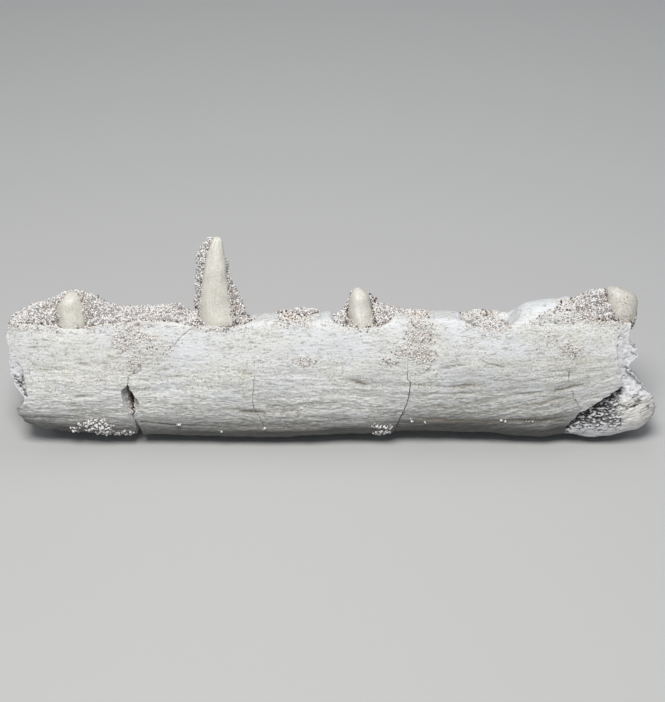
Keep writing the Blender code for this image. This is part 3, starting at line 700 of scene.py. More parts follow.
def closedTube(name, points, attributes):
    # points is columns x rows x 3; the first and last columns have shrunk to a point each
    columns, rows = points.shape[:2]
    index = np.arange(columns * rows).reshape(columns, rows)
    one, two = index[1:-2], index[2:-1]
    quads = np.stack([one, np.roll(one, -1, 1), np.roll(two, -1, 1), two], -1).reshape(-1, 4).tolist()
    first, last = index[1], index[-2]
    start, end = int(index[0, 0]), int(index[-1, 0])
    fans = np.concatenate([
        np.stack([np.full(rows, start), np.roll(first, -1), first], -1),
        np.stack([np.full(rows, end), last, np.roll(last, -1)], -1),
    ]).tolist()
    used = np.zeros(columns * rows, bool)
    used[index[1:-1].ravel()] = True
    used[[start, end]] = True
    renumber = np.cumsum(used) - 1
    faces = [[int(renumber[i]) for i in face] for face in quads + fans]
    flat = points.reshape(-1, 3)
    centre = flat[used].mean(0)
    a, b, c = (flat[corner] - centre for corner in (one, np.roll(one, -1, 1), two))
    if (np.cross(a, b) * c).sum() < 0:
        faces = [face[::-1] for face in faces]
    mesh = bpy.data.meshes.new(name)
    mesh.from_pydata(flat[used].tolist(), [], faces)
    makeSmooth(mesh)
    addFields(mesh, {
        label: values.reshape(columns * rows, *values.shape[2:])[used]
        for label, values in attributes.items()
    })
    return addObject(name, mesh)


def makeBone(name, leftSide, rightSide, reach, setBack=0.0, breakAt=None, ends=(0.35, 0.35), holeSand=0):
    # ends: how rough each end is; holeSand: 1 if the left end is a side of the hole, -1 if the right one is
    rings, face = makeRings(setBack)
    rows = np.arange(rings.shape[1])[None, :]
    length = reach[1] - reach[0]
    near = np.array(boneShape["nearEnds"]) / length
    shares = [*np.linspace(0, 1, math.ceil(length / boneShape["column"])), *near, *(1 - near)]
    breakShare = boneShape["breakShare"]
    if breakAt is not None:
        beyond = breakShare + (1 - breakShare) * np.linspace(0.004, 1, boneShape["breakColumns"])
        shares = [*(share * breakShare for share in shares), *beyond, breakShare - boneShape["breakStep"]]
    shares = np.array(sorted(set(shares)))[:, None]
    capRings = boneShape["capRings"]
    shrink = 1 - np.linspace(0, 1, capRings + 1)[1:] ** boneShape["capCurve"]
    scale = np.concatenate([shrink[::-1], np.ones(len(shares)), shrink])[:, None]
    shares = np.concatenate([np.zeros((capRings, 1)), shares, np.ones((capRings, 1))])
    x = reach[0] + shares * length + 0 * rows
    centreH, centreT = boneShape["capCentre"]
    limit, jawEnds = boneShape["reachLimit"], boneShape["jawEnds"]
    for _ in range(4):
        h, t = np.moveaxis(ringAt(rings, x, rows + 0 * x.astype(int)), -1, 0)
        h, t = centreH + (h - centreH) * scale, centreT + (t - centreT) * scale
        left, right = leftSide(h, t), rightSide(h, t)
        if breakAt is None:
            x = left + shares * (right - left)
        else:
            edge = np.clip(breakAt(h), left + 1, right - 0.5)
            x = np.where(
                shares <= breakShare,
                left + shares / breakShare * (edge - left),
                edge + (shares - breakShare) / (1 - breakShare) * (right - edge),
            )
        x = np.clip(x, -limit, limit)
    isCap = 1 - scale
    faceHere = face[None, :] + 0 * x
    deeper, marks = faceRelief(x, h, t, faceHere)
    # outward direction across the section
    here = np.stack([h, t], -1)
    along = np.roll(here, -2, 1) - np.roll(here, 2, 1)
    along /= np.linalg.norm(along, axis=-1, keepdims=True) + 1e-9
    onCap = smoothStep(isCap, 0, 0.02)
    h2 = h + along[..., 1] * -deeper * (1 - onCap)
    t2 = t - along[..., 0] * -deeper * (1 - onCap)
    # broken walls at the two ends of the jaw
    marks["broken"] = np.zeros(x.shape)
    fade = smoothStep(faceHere * (1 - onCap), 0.05, 0.5)
    for side, wanted in ((-1, reach[0] < -jawEnds), (1, reach[1] > jawEnds)):
        if wanted:
            kept = dict(marks)
            t2 = t2 + (brokenWall(x, h, t2, marks, side) - t2) * fade
            for key in kept:
                marks[key] = kept[key] + (marks[key] - kept[key]) * fade
    # rough broken faces on the caps
    leftHalf = shares < 0.5
    rough = np.abs(softNoise(x, h, t, 4.5, 71)) + 0.5 * np.abs(softNoise(x, h, t, 1.8, 72))
    rough = rough + 0.22 * softNoise(x, h, t, 0.8, 73)
    first, second = cellNoise(h, t, 0 * x, 1.5, 74)
    cells = smoothStep(second - first, 0.1, 0.5)
    amount = np.where(leftHalf, *ends)
    x = x + np.where(leftHalf, 1.0, -1.0) * smoothStep(isCap, 0, 0.06) * amount * (1.3 * rough + 0.7 * cells)
    # painted shade in the cells of the broken ends
    capPore = onCap * smoothStep(isCap, 0.02, 0.2) * cells * (0.25 + 0.5 * amount)
    marks["pore"] = np.maximum(marks["pore"], capPore)
    marks["broken"] = np.maximum(marks["broken"], onCap)
    for key, share in (("grit", 0.7), ("loose", 0.7), ("slit", 1)):
        marks[key] = marks[key] * (1 - share * onCap)
    if holeSand:
        inHole = onCap * (leftHalf == (holeSand > 0)) * smoothStep(h, 8.0, 10.0)
        inHole = inHole * (1 - smoothStep(h, 20.5, 21.5)) * (1 - smoothStep(t, 9, 11))
        if holeSand < 0:
            inHole = inHole * smoothStep(t + 0.25 * (20 - h), 4.6, 6.0)
        for key in ("grit", "loose", "brown"):
            marks[key] = np.maximum(marks[key], inHole)
    # the grains on the outer face are painted lighter
    marks["crest"] = 0.7 * faceHere
    marks["jawPlace"] = np.stack([x, h2, t2], -1)
    marks["fibrePlace"] = np.stack([x, h2 - fibreBend(x, h), t2], -1)
    marks["low"] = 1 - smoothStep(h, 2, 26)
    return closedTube(name, standUp(x, h2, t2), marks)


boneLeft = makeBone(
    "bone_left", lambda h, t: outlineAt(boneShape["leftEnd"], h) + ragged(h, t, 0.45, 2),
    lambda h, t: crackSide(h, t, -1), (-124, -75), ends=(1.0, 0.15), holeSand=-1,
)
boneMiddle = makeBone(
    "bone_middle", lambda h, t: crackSide(h, t, 1), lambda h, t: secondSide(h, t, -1), (-75, 29), holeSand=1,
)
boneRight = makeBone(
    "bone_right", lambda h, t: secondSide(h, t, 1),
    lambda h, t: outlineAt(boneShape["rightEnd"], h) + ragged(h, t, 0.5, 11),
    (29, 118), setBack=0.7, breakAt=wallBreakAt, ends=(0.35, 1.1),
)
bones = (boneLeft, boneMiddle, boneRight)
print("bone fragments:", [len(piece.data.polygons) for piece in bones])

# Crowns

crowns = {
    "sides": 112,
    "rows": 120,
    "wear": 0.08,  # how uneven they are, as a share of their width
    # striations and grain: height in mm, size, seed
    "striations": ((0.035, (0.55, 26, 1), 81), (0.02, (0.8, 1.2, 1), 82)),
    "chipDepth": 0.35,  # mm
    "swell": 0.10,  # mm
    "tipRise": 0.12,  # mm
    "girth": 4.5,  # mm of noise for each radian round a crown
    "frostFrom": 41,  # no grains below this h
    # where each is clean of sand: height, left edge, right edge
    "clean": {
        "tooth_tall": (
            (40, -50.9, -38.6), (45, -50.9, -38.2), (55, -50.6, -39.6), (70, -49, -40.2), (76, -46.4, -40),
            (79, -45.4, -40),
        ),
        "tooth_short": (
            (40, 4.6, 16.0), (43.0, 6.0, 15.4), (47, 5.8, 16.2), (52, 6.4, 15.8), (58, 7.2, 14.6),
        ),
        "tooth_left_stub": (
            (42, -103.8, -94.4), (44.5, -104.4, -94.6), (47.5, -106.2, -94.8), (50, -106.9, -95.2),
            (52.7, -104.6, -96.5), (54, -103.2, -97.2), (55.3, -102.2, -97.8), (58, -101.8, -98.2),
        ),
        "tooth_right_stub": ((45.5, 115.4, 116.0), (47.5, 109.5, 118), (50, 106.6, 119), (60, 106.2, 119)),
    },
    # how dusty each one is
    "dusty": {"tooth_tall": 0.15, "tooth_short": 0.4, "tooth_left_stub": 0.35, "tooth_right_stub": 0.9},
    # where the sand banks against the left and the right side of each one, in half widths
    "bank": {
        "tooth_tall": ((0.95, 1.5), (0.95, 1.7)), "tooth_short": ((1.1, 1.7), (1.05, 1.4)),
        "tooth_left_stub": ((0.85, 1.3), (0.9, 1.4)), "tooth_right_stub": ((0.5, 0.85), (0.95, 2.1)),
    },
    # root to tip: h, x, t, half width, half depth
    "tooth_tall": (
        (40.2, -43.6, 11.4, 7.7, 7.6), (45.2, -44.1, 11.4, 7.5, 7.4), (48, -44.4, 11.4, 7.3, 6.4),
        (51, -44.7, 11.3, 6.8, 5.6), (54.8, -45, 11.3, 6.1, 5.1), (60.4, -44.9, 11.5, 5, 4.4),
        (65.8, -44.7, 12, 4.3, 3.8), (71.3, -44.5, 12.7, 3.25, 2.9), (75, -44.1, 13.1, 2.3, 2),
        (76.7, -43.9, 13.4, 1.7, 1.5), (77.6, -43.9, 13.6, 0.9, 0.8),
    ),
    "tooth_short": (
        (40.2, 12, 11.4, 5.4, 7.6), (44.2, 11.8, 11.4, 5.2, 7.4), (47.2, 11.4, 11.4, 5, 6.2),
        (50.4, 11, 11.4, 4.5, 4.9), (54.2, 10.8, 11.6, 3.9, 4.2), (56.3, 10.5, 11.9, 2.8, 3),
        (57.5, 10.1, 12.1, 1.5, 1.8), (57.9, 10, 12.2, 0.6, 0.8),
    ),
    "tooth_left_stub": (
        (40.2, -100.6, 11.2, 5.9, 7.4), (44.6, -100.7, 11.2, 5.9, 7.2), (47.4, -101, 11.2, 6, 6.3),
        (49.6, -101.3, 11.1, 6, 5.6), (52, -101.2, 11, 5.4, 5.1), (54, -100.7, 11.1, 4.2, 4.2),
        (55.3, -100.4, 11.3, 3.1, 3), (56.1, -100.2, 11.4, 2, 1.8), (56.4, -100.2, 11.4, 1, 0.8),
    ),
    "tooth_right_stub": (
        (42, 111.4, 11.6, 5.4, 5), (45.4, 112, 11.6, 6, 5.4), (49, 112.4, 11.6, 6.1, 5.4),
        (52.6, 112.6, 11.6, 6.1, 5.2), (55.4, 111.6, 11.7, 5.4, 4.5), (57.4, 109.7, 11.9, 3.2, 3.2),
        (58.2, 109.2, 12.1, 1.4, 1.6),
    ),
}


def makeCrown(node):
    sections = np.array(crowns[node])
    steps = np.concatenate([[0], np.cumsum(np.linalg.norm(np.diff(sections[:, [0, 3]], axis=0), axis=1))])
    along = np.linspace(0, steps[-1], crowns["rows"])
    # eased through the sections
    padded = np.vstack([2 * sections[0] - sections[1], sections, 2 * sections[-1] - sections[-2]])
    place = np.interp(along, steps, np.arange(len(steps)))
    i = np.clip(place.astype(int), 0, len(sections) - 2)
    rows = roundThrough(*(padded[i + j] for j in range(4)), (place - i)[:, None])
    kernel = np.array([1, 2, 3, 2, 1]) / 9
    for column in range(5):
        rows[2:-2, column] = np.convolve(rows[:, column], kernel, "valid")
    h, x, t, wide, deep = (rows[:, [k]] for k in range(5))
    angle = np.linspace(0, 2 * math.pi, crowns["sides"], endpoint=False)[None, :]
    wear = np.array([
        [noise.noise(Vector((math.cos(a), math.sin(a), height * 0.12)) * 1.7) for a in angle[0]]
        for height in h[:, 0]
    ])
    facet = 1 + crowns["wear"] * wear
    tall = (h - h[0]) / (h[-1] - h[0])
    girth = angle * crowns["girth"]
    fine = noiseSum(girth, h, 0, crowns["striations"])
    chips = crowns["chipDepth"] * np.clip(softNoise(girth, h, 3, (2.6, 1.8, 1), 83) - 0.15, 0, None)
    chips = chips * smoothStep(tall, 0.82, 1.0)
    proud = -fine - chips + crowns["swell"] * softNoise(girth, h, 0, (4, 7, 1), 84)
    px = x + (wide * facet + proud) * np.cos(angle)
    pt = t + (deep * facet + proud) * np.sin(angle)
    ph = h + 0 * angle + 0.25 * softNoise(px, 0, pt, 1.6, 85) * smoothStep(tall, 0.85, 1.0)
    stack = np.stack([px, ph, pt], -1)
    foot, tip = (end.mean(1, keepdims=True) + 0 * end for end in (stack[:1], stack[-1:]))
    tip[..., 1] += crowns["tipRise"]
    stack = np.concatenate([foot, stack, tip])
    around = np.concatenate([girth, girth + 0 * h, girth])
    px, ph, pt = np.moveaxis(stack, -1, 0)
    heights, cleanLeft, cleanRight = np.array(crowns["clean"][node]).T
    spot = px + 0.5 * softNoise(px, ph, pt, 1.6, 86)
    left, right = (np.interp(ph, heights, edge) for edge in (cleanLeft, cleanRight))
    frost = np.maximum(smoothStep(left - spot, -0.5, 0.3), smoothStep(spot - right, -0.5, 0.3))
    dusty = crowns["dusty"][node]
    return closedTube(node.replace("tooth", "crown"), standUp(px, ph, pt), {
        "jawPlace": stack,
        "frost": frost * (ph > crowns["frostFrom"]),
        "dust": np.maximum(smoothStep(softNoise(px, ph, pt, 1.3, 87), 0.05, 0.5) * dusty, dusty * 0.45),
        "crownPlace": np.stack([around, ph, 0 * around], -1),
    })


crownNames = "tooth_left_stub", "tooth_tall", "tooth_short", "tooth_right_stub"
teeth = {node: makeCrown(node) for node in crownNames}
print("crowns:", len(teeth))

# Sand rock: the solid remeshed fine and roughened

sandShape = {
    "voxel": 0.72,  # mm
    # swell, lumps and crumbs: height in mm, size in mm, seed
    "roughness": ((0.5, 6.0, 91), (0.62, 2.4, 92), (0.34, 1.0, 93)),
    "settle": 0.25,  # mm, so that the grains on top end where the solid did
    "sheath": (0.8, -44, 13),  # mm thicker round the tall crown, the crown's x, reach
    "dip": (0.8, 27, 5),  # mm lower, x, reach
    "bankDepth": 8.0,  # mm that the sand beside a crown stands forward
    "sink": {"sand_rock": 0.0, "sand_in_socket": 1.6},  # mm, lower at the back
    "lap": (0.4, -1.2),  # mm up and outwards, where it laps onto the outer rim
}


def evaluated(piece):
    bpy.context.view_layer.update()
    return bpy.data.meshes.new_from_object(piece.evaluated_get(bpy.context.evaluated_depsgraph_get()))


def readPoints(mesh, field="co"):
    values = np.empty(len(mesh.vertices) * 3, np.float32)
    mesh.vertices.foreach_get(field, values)
    return values.reshape(-1, 3).astype(float)


def makeSand(name, node):
    work = bmesh.new()
    work.from_mesh(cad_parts[node].data)
    bmesh.ops.remove_doubles(work, verts=work.verts, dist=1e-6)
    bmesh.ops.recalc_face_normals(work, faces=work.faces)
    mesh = bpy.data.meshes.new(name)
    work.to_mesh(mesh)
    work.free()
    rough = addObject(name + "_rough", mesh)
    remesh = rough.modifiers.new("voxels", "REMESH")
    remesh.mode, remesh.voxel_size, remesh.adaptivity = "VOXEL", sandShape["voxel"] * mm, 0
    smooth = rough.modifiers.new("smooth", "SMOOTH")
    smooth.factor, smooth.iterations = 0.5, 3
    fine = evaluated(rough)
    bpy.data.objects.remove(rough)
    fine.name = name
    piece = addObject(name, fine)
    points, normals = readPoints(fine), readPoints(fine, "normal")
    x, h, t = layBack(points)
    rimHeight = easedAlong(jaw["rim"], x)
    z = points[:, 2] / mm
    againstBone = ((t < 23.0) & (h < rimHeight - 1.2) & (z > 9)).astype(float)
    free = (1 - againstBone) * smoothStep(z, 0.15, 1.6)
    dip, dipX, dipReach = sandShape["dip"]
    dipped = dip * bell(x, dipX, dipReach) * (h > rimHeight - 1)
    sink = sandShape["sink"][name] * smoothStep(t, 3.5, 9) + dipped
    points += standUp(x, h - sink, t) - standUp(x, h, t)
    h = h - sink
    # it laps onto the outer rim, and draws back from the fronts of the crowns
    above = h - rimHeight
    lap = smoothStep(above, -3.0, -1.2) * (1 - smoothStep(above, 1.0, 2.5))
    lap = lap * (1 - smoothStep(t, 6, 8)) * (t > 3)
    for tooth in teeth:
        centreX, wide = (np.interp(h, *np.array(crowns[tooth])[:, [0, column]].T) for column in (1, 3))
        lap *= smoothStep(np.abs(x - centreX) / wide, 1.0, 1.25)
    up, outwards = sandShape["lap"]
    points += standUp(x, h + up * lap, t + outwards * lap) - standUp(x, h, t)
    h, t = h + up * lap, t + outwards * lap
    buried = np.zeros(len(points))
    for tooth in teeth:
        heights, *columns = np.array(crowns[tooth]).T
        centreX, centreT, wide, deep = (np.interp(h, heights, column) for column in columns)
        beside = np.abs(x - centreX) / wide
        front = centreT + 0.3 - deep * (0.2 + 0.8 * np.sqrt(np.clip(1 - beside ** 2, 0, 1)))
        banks = [smoothStep(beside, inner, outer) for inner, outer in crowns["bank"][tooth]]
        front -= sandShape["bankDepth"] * np.where(x < centreX, *banks)
        back = np.clip(front - t, 0, None) * smoothStep(h - rimHeight, -1.4, -0.2)
        back = back * free * (h < heights[-1] + 1)
        buried = np.maximum(buried, (back > 0.3) * (beside < 0.93))
        points += standUp(x, h, t + back) - standUp(x, h, t)
        t = t + back
    first, second = cellNoise(x, h, t, 1.7, 94)
    sheath, tallX, tallReach = sandShape["sheath"]
    nearTall = np.abs(x - tallX) < tallReach
    push = noiseSum(x, h, t, sandShape["roughness"]) + (0.35 * smoothStep(second - first, 0.0, 0.5) - 0.25)
    push += sheath * smoothStep(h, 47.5, 50) * (1 - smoothStep(h, 70, 76)) * nearTall * (1 - buried)
    push = push * (1 - buried)
    points += normals * ((push - sandShape["settle"]) * free * mm)[:, None]
    points[:, 2] = np.where(z < 0.5, np.maximum(points[:, 2], 0), points[:, 2])
    fine.vertices.foreach_set("co", points.astype(np.float32).ravel())
    top = smoothStep(h - rimHeight, -1.5, 0.5) * (1 - smoothStep(t, 15, 19))
    front = np.maximum(top, smoothStep(-normals[:, 1], 0.2, 0.5) * (h > rimHeight - 1.5))
    addFields(fine, {
        # painted light: faces that turn up and the sheath by the tall crown are lighter
        "crest": np.maximum(smoothStep(normals[:, 2], 0.55, 0.95), 0.9 * smoothStep(h, 49, 52) * nearTall),
        "front": front * free * (1 - buried),
        "behind": (1 - front) * free * smoothStep(z, 1.8, 3.0),
        "push": push,
    })
    makeSmooth(fine)
    return piece


sandRock = makeSand("sand_rock", "sand_matrix")
sandPlug = makeSand("sand_in_socket", "sand_socket_fill")
print("sand rock:", len(sandRock.data.polygons), len(sandPlug.data.polygons))

# Materials


def feed(inputs, values):
    for key, value in values.items():
        if isinstance(value, bpy.types.NodeSocket):
            value.id_data.links.new(value, inputs[key])
        else:
            inputs[key].default_value = value


def addNode(kind, inputs, tree=None, **settings):
    # without a tree, the node goes where its inputs come from
    if tree is None:
        tree = next(value.id_data for value in inputs.values() if isinstance(value, bpy.types.NodeSocket))
    made = tree.nodes.new(kind)
    for key, value in settings.items():
        setattr(made, key, value)
    feed(made.inputs, inputs)
    return made


def calc(operation, first, *others, clamp=False):
    # on two values, then on the result and each further value
    for number, other in enumerate(others, 1):
        clampNow = clamp and number == len(others)
        made = addNode("ShaderNodeMath", {0: first, 1: other}, operation=operation, use_clamp=clampNow)
        first = made.outputs[0]
    return first


plus, minus, times, over = (
    partial(calc, operation) for operation in ("ADD", "SUBTRACT", "MULTIPLY", "DIVIDE")
)


def vectorMath(operation, first, second, output=0):
    inputs = {0: first, 3 if operation == "SCALE" else 1: second}
    return addNode("ShaderNodeVectorMath", inputs, operation=operation).outputs[output]


def blend(factor, first, second):
    first, second = ((*v, 1) if isinstance(v, tuple) and len(v) == 3 else v for v in (first, second))
    return addNode("ShaderNodeMix", {0: factor, 6: first, 7: second}, data_type="RGBA").outputs[2]


def layer(base, *coats):
    for mask, colour in coats:
        base = blend(mask, base, colour)
    return base


def steps(value, stops):
    made = addNode("ShaderNodeValToRGB", {0: value})
    made.color_ramp.interpolation = "CONSTANT"
    elements = made.color_ramp.elements
    while len(elements) < len(stops):
        elements.new(0.5)
    for element, (place, colour) in zip(elements, stops):
        element.position, element.color = place, (*colour, 1)
    return made.outputs[0]


def rangeOf(value, low, high, toLow=0.0, toHigh=1.0):
    inputs = {0: value, 1: low, 2: high, 3: toLow, 4: toHigh}
    return addNode("ShaderNodeMapRange", inputs, interpolation_type="SMOOTHSTEP").outputs[0]


def noiseOf(place, scale, detail, roughness=0.5, output=0, distortion=0.0):
    inputs = {
        "Vector": place, "Scale": scale, "Detail": detail, "Roughness": roughness, "Distortion": distortion,
    }
    return addNode("ShaderNodeTexNoise", inputs).outputs[output]


def voronoi(place, scale, feature="F1"):
    return addNode("ShaderNodeTexVoronoi", {"Vector": place, "Scale": scale}, feature=feature).outputs


def split(place):
    return addNode("ShaderNodeSeparateXYZ", {0: place}).outputs


def join(*parts):
    return addNode("ShaderNodeCombineXYZ", dict(enumerate(parts))).outputs[0]


def newGroup(name, inputs, outputs):
    # an input without a value is a vector
    tree = bpy.data.node_groups.new(name, "ShaderNodeTree")
    for label, value in inputs.items():
        kind = "NodeSocketVector" if value is None else "NodeSocketFloat"
        socket = tree.interface.new_socket(label, in_out="INPUT", socket_type=kind)
        if value is not None:
            socket.default_value = value
    for label, kind in outputs.items():
        tree.interface.new_socket(label, in_out="OUTPUT", socket_type="NodeSocket" + kind)
    return tree, tree.nodes.new("NodeGroupInput").outputs, tree.nodes.new("NodeGroupOutput").inputs


def pick(colour, channel):
    return addNode("ShaderNodeSeparateColor", {0: colour}).outputs[channel]


def useGroup(group, **values):
    inputs = {key.capitalize(): value for key, value in values.items()}
    return addNode("ShaderNodeGroup", inputs, node_tree=group).outputs


def fibreGroup():
    # streaks drawn out along the piece: Place in mm, with x along the fibres
    tree, given, out = newGroup(
        "fibreGrain", {"Place": None, "Length": 9.0, "Width": 0.6}, {"Streaks": "Float", "Height": "Float"},
    )
    x, y, z = split(given["Place"])
    fine = []
    for finer in (1.0, 2.3):
        long, wide = (times(given[label], 1.0 / finer) for label in ("Length", "Width"))
        drawn = join(over(x, long), over(y, wide), over(z, wide))
        fine.append(noiseOf(drawn, 1.0, 3.0, 0.6, distortion=0.15))
    both = plus(times(fine[0], 0.6), times(fine[1], 0.4))
    feed(out, {"Streaks": rangeOf(both, 0.36, 0.62), "Height": both})
    return tree


def speckleGroup():
    # packed grains of many tones: Place in mm
    tree, given, out = newGroup(
        "sandSpeckle", {"Place": None, "Size": 0.8, "Brown": 0.5}, {"Colour": "Color", "Height": "Float"},
    )
    scale = over(1.0, given["Size"])
    cells = voronoi(given["Place"], scale)
    edge = voronoi(given["Place"], scale, "DISTANCE_TO_EDGE")["Distance"]
    lot = pick(cells["Color"], 0)
    pale = steps(lot, (
        (0, (0.12, 0.1, 0.095)), (0.07, (0.44, 0.39, 0.36)), (0.15, (0.68, 0.63, 0.61)),
        (0.26, (0.84, 0.83, 0.84)), (0.5, (0.93, 0.93, 0.94)),
    ))
    warm = steps(lot, (
        (0, (0.12, 0.09, 0.065)), (0.08, (0.42, 0.32, 0.23)), (0.19, (0.64, 0.53, 0.42)),
        (0.34, (0.8, 0.74, 0.67)), (0.54, (0.91, 0.89, 0.87)),
    ))
    # the edges between the cells get a dark colour: painted shade in the gaps between the grains
    colour = blend(rangeOf(edge, 0.02, 0.22), (0.36, 0.32, 0.30), blend(given["Brown"], pale, warm))
    feed(out, {"Colour": colour, "Height": rangeOf(edge, 0.0, 0.35)})
    return tree


def hairlineGroup():
    # a thin line from Start to End: Place in mm
    tree, given, out = newGroup(
        "hairline", {"Place": None, "Start": None, "End": None, "Width": 0.2}, {"Mask": "Float"},
    )
    flat = vectorMath("MULTIPLY", given["Place"], (1, 1, 0))
    wobble = vectorMath("SUBTRACT", noiseOf(flat, 0.9, 2.0, output="Color"), (0.5, 0.5, 0.5))
    moved = vectorMath("ADD", flat, vectorMath("MULTIPLY", wobble, (1.3, 1.3, 0)))
    here = vectorMath("SUBTRACT", moved, given["Start"])
    whole = vectorMath("SUBTRACT", given["End"], given["Start"])
    share = over(*(vectorMath("DOT_PRODUCT", place, whole, "Value") for place in (here, whole)), clamp=True)
    gap = vectorMath("DISTANCE", here, vectorMath("SCALE", whole, share), "Value")
    feed(out, {"Mask": minus(1.0, over(gap, given["Width"]), clamp=True)})
    return tree


def blotchGroup():
    # uneven tone: Place in mm, Size in mm
    tree, given, out = newGroup("blotches", {"Place": None, "Size": 10.0}, {"Mask": "Float", "Fine": "Float"})
    scale = over(1.0, given["Size"])
    soft, fine = noiseOf(given["Place"], scale, 4.0, 0.6), noiseOf(given["Place"], times(scale, 14.0), 2.0)
    feed(out, {"Mask": rangeOf(soft, 0.35, 0.65), "Fine": fine})
    return tree


fibreGrain, sandSpeckle, hairline, blotches = fibreGroup(), speckleGroup(), hairlineGroup(), blotchGroup()


def newMaterial(name):
    made = bpy.data.materials.new(name)
    made.use_nodes = True
    return made, made.node_tree


def attribute(tree, name, output="Fac"):
    made = addNode("ShaderNodeAttribute", {}, tree, attribute_name=name, attribute_type="GEOMETRY")
    return made.outputs[output]


def objectPlace(tree):
    # in mm
    place = addNode("ShaderNodeTexCoord", {}, tree).outputs["Object"]
    return vectorMath("MULTIPLY", place, (1000, 1000, 1000))


def finish(made, colour, height, distance, roughness):
    bump = addNode("ShaderNodeBump", {"Height": height, "Strength": 1.0, "Distance": distance})
    feed(made.node_tree.nodes["Principled BSDF"].inputs, {
        "Base Color": colour, "Normal": bump.outputs[0], "Roughness": roughness,
    })
    return made


boneFinish = {
    "pale": (0.85, 0.865, 0.89),
    "plain": (0.83, 0.835, 0.805),
    "cream": (0.78, 0.755, 0.66),
    "streak": (0.44, 0.43, 0.40),
    "grainDark": (0.36, 0.355, 0.32),
    "grainPale": (0.93, 0.935, 0.94),
    "bluishSheen": (0.86, 0.885, 0.93),
    "fleck": (0.42, 0.41, 0.36),
    "speck": (0.36, 0.36, 0.29),
    "shade": (0.10, 0.098, 0.095),
    "stain": (0.25, 0.20, 0.13),
    "crack": (0.16, 0.13, 0.10),
    "slit": (0.085, 0.062, 0.042),
    "inside": (0.70, 0.70, 0.73),
    "insidePale": (0.80, 0.80, 0.82),
    "insideCream": (0.93, 0.90, 0.85),
    "poreShade": (0.045, 0.04, 0.037),
    "sandTinge": (0.66, 0.52, 0.38),
    "bedShade": (0.20, 0.185, 0.17),
}


